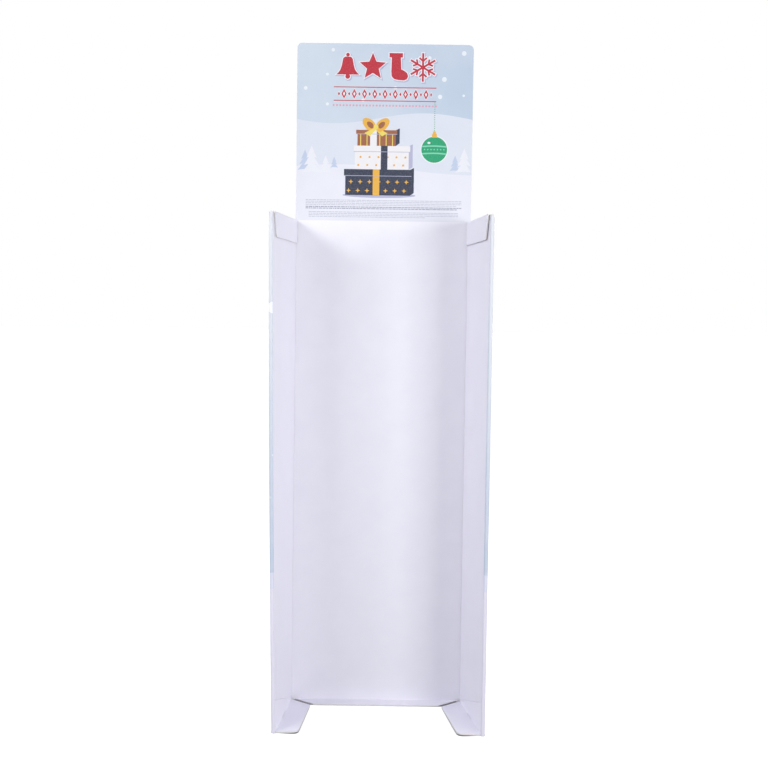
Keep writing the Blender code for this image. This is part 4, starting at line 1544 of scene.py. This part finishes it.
class DISPLAYSTAND_OT_stage(Operator):
    """Sets up the pale floor, the soft lights and the camera"""

    bl_idname = "display_stand.stage"
    bl_label = "Stage"

    def execute(self, context):
        studio = settings(context).studio
        self.world(context.scene, studio)
        self.floor(studio, settings(context).sheet)
        for name, (turn, rise, size, setting) in LAMPS.items():
            self.lamp(name, turn, rise, size, getattr(studio, setting), studio)
        self.camera(context.scene, studio)
        context.scene.view_settings.view_transform = "Standard"
        return {"FINISHED"}

    def world(self, scene, studio):
        """Soft light from all round; the camera and what is glossy see plain white."""
        scene.world = bpy.data.worlds.new("Studio")
        scene.world.use_nodes = True
        tree = scene.world.node_tree
        make = NodeMaker(tree)
        background = tree.nodes["Background"]
        seen = self.seen(make)
        make.set(background.inputs["Color"], make.mix(seen, studio.fill_colour, (1, 1, 1)))
        make.set(background.inputs["Strength"], make.span(seen, 0, 1, studio.fill, 1.0))

    def seen(self, make):
        """1 for rays from the camera, or through gloss or glass, and 0 for light."""
        path = make("ShaderNodeLightPath")
        rays = make.maths("ADD", path.outputs["Is Camera Ray"], path.outputs["Is Transmission Ray"])
        return make.maths("MINIMUM", make.maths("ADD", rays, path.outputs["Is Glossy Ray"]), 1)

    def uncovered(self, make, sheet):
        """Painted shadow: 0 on the strip of floor under the back flap, which shows only through the
        mitres.
        """
        split = make("ShaderNodeSeparateXYZ", Vector=make("ShaderNodeTexCoord").outputs["Object"])
        front = BODY_HIGH.y - sheet.back_flap_depth
        near = make.span(split.outputs["Y"], front - COVER_BLUR, front)
        far_edge, side = BODY_HIGH.y - COVER_BLUR, sheet.bay_width / 2
        far = make.span(split.outputs["Y"], far_edge - COVER_BLUR, far_edge, 1, 0)
        across = make.maths("ABSOLUTE", split.outputs["X"])
        between = make.span(across, side - COVER_BLUR, side, 1, 0)
        covered = make.maths("MULTIPLY", make.maths("MULTIPLY", near, far), between)
        return make.maths("SUBTRACT", 1, covered)

    def floor(self, studio, sheet):
        """Wide pale disc just under the feet, as bright as the background to the camera, with
        painted shadow where its glow goes out under the back flap and dims beside the stand.
        """
        disc = bmesh.new()
        bmesh.ops.create_circle(disc, cap_ends=True, radius=studio.floor_reach, segments=96)
        for vert in disc.verts:
            vert.co.z = cad_box[0][2] - studio.floor_gap
        material, make = new_material("floor_white", [studio.floor_tone] * 3, FLOOR_ROUGHNESS)
        # Painted shadow: the glow goes out under the back flap and fades by ambient occlusion
        # beside the stand
        near = make("ShaderNodeAmbientOcclusion", Distance=studio.contact)
        glow = make.maths("MULTIPLY", self.seen(make), studio.floor_glow)
        for share in (self.uncovered(make, sheet), make.span(near.outputs["AO"], 0.3, 0.8)):
            glow = make.maths("MULTIPLY", glow, share)
        make.shade(Specular_IOR_Level=0.1, Emission_Color=(1, 1, 1), Emission_Strength=glow)
        shaped_piece("floor", disc, [material])

    def lamp(self, name, turn, rise, size, watts, studio):
        """Soft box aimed at the bay, turned from the front and raised by degrees."""
        turn, rise = math.radians(turn), math.radians(rise)
        target = Vector((LAMP_TARGET[0], LAMP_TARGET[1], BODY_HIGH.z * LAMP_TARGET[2]))
        level = math.cos(rise)
        aim = Vector((math.sin(turn) * level, -math.cos(turn) * level, math.sin(rise)))
        data = bpy.data.lights.new(name, "AREA")
        data.shape = "RECTANGLE"
        data.size, data.size_y = size
        data.energy = watts
        data.color = studio.lamp_colour
        lamp = bpy.data.objects.new(name, data)
        lamp.location = target + aim * studio.lamp_distance
        lamp.rotation_euler = aim.to_track_quat("Z", "Y").to_euler()
        bpy.context.scene.collection.objects.link(lamp)

    def camera(self, scene, studio):
        data = bpy.data.cameras.new("camera")
        data.lens = studio.lens
        data.sensor_width = 36.0
        camera = bpy.data.objects.new("camera", data)
        camera.location = studio.camera
        heading = Vector((math.sin(studio.yaw) * math.cos(studio.pitch),
                          math.cos(studio.yaw) * math.cos(studio.pitch), -math.sin(studio.pitch)))
        aim = heading.to_track_quat("-Z", "Y") @ Quaternion((0, 0, 1), studio.roll)
        camera.rotation_euler = aim.to_euler()
        scene.collection.objects.link(camera)
        scene.camera = camera


class DISPLAYSTAND_PT_sidebar(Panel):
    """Lists the pieces of the stand and its sizes"""

    bl_label = "Display Stand"
    bl_idname = "DISPLAYSTAND_PT_sidebar"
    bl_space_type = "VIEW_3D"
    bl_region_type = "UI"
    bl_category = "Display Stand"

    def draw(self, context):
        stand = settings(context)
        for operator in OPERATORS:
            self.layout.operator(operator.bl_idname)
        for group in (stand.board, stand.sheet, stand.card, stand.colours, stand.studio):
            column = self.layout.column(align=True)
            for name in group.__annotations__:
                column.prop(group, name)


GROUPS = (BoardSizes, SheetSizes, CardSizes, Colours, StudioSizes, DisplayStand)
OPERATORS = (DISPLAYSTAND_OT_folded_board, DISPLAYSTAND_OT_header_board,
             DISPLAYSTAND_OT_header_heading, DISPLAYSTAND_OT_header_picture,
             DISPLAYSTAND_OT_header_landscape, DISPLAYSTAND_OT_header_hairlines,
             DISPLAYSTAND_OT_foam_tape, DISPLAYSTAND_OT_stage)


def register():
    for item in (*GROUPS, *OPERATORS, DISPLAYSTAND_PT_sidebar):
        bpy.utils.register_class(item)
    bpy.types.Scene.display_stand = PointerProperty(type=DisplayStand)


def unregister():
    del bpy.types.Scene.display_stand
    for item in reversed((*GROUPS, *OPERATORS, DISPLAYSTAND_PT_sidebar)):
        bpy.utils.unregister_class(item)


def main():
    register()
    for operator in OPERATORS:
        group, name = operator.bl_idname.split(".")
        getattr(getattr(bpy.ops, group), name)()


if __name__ == "__main__":
    main()
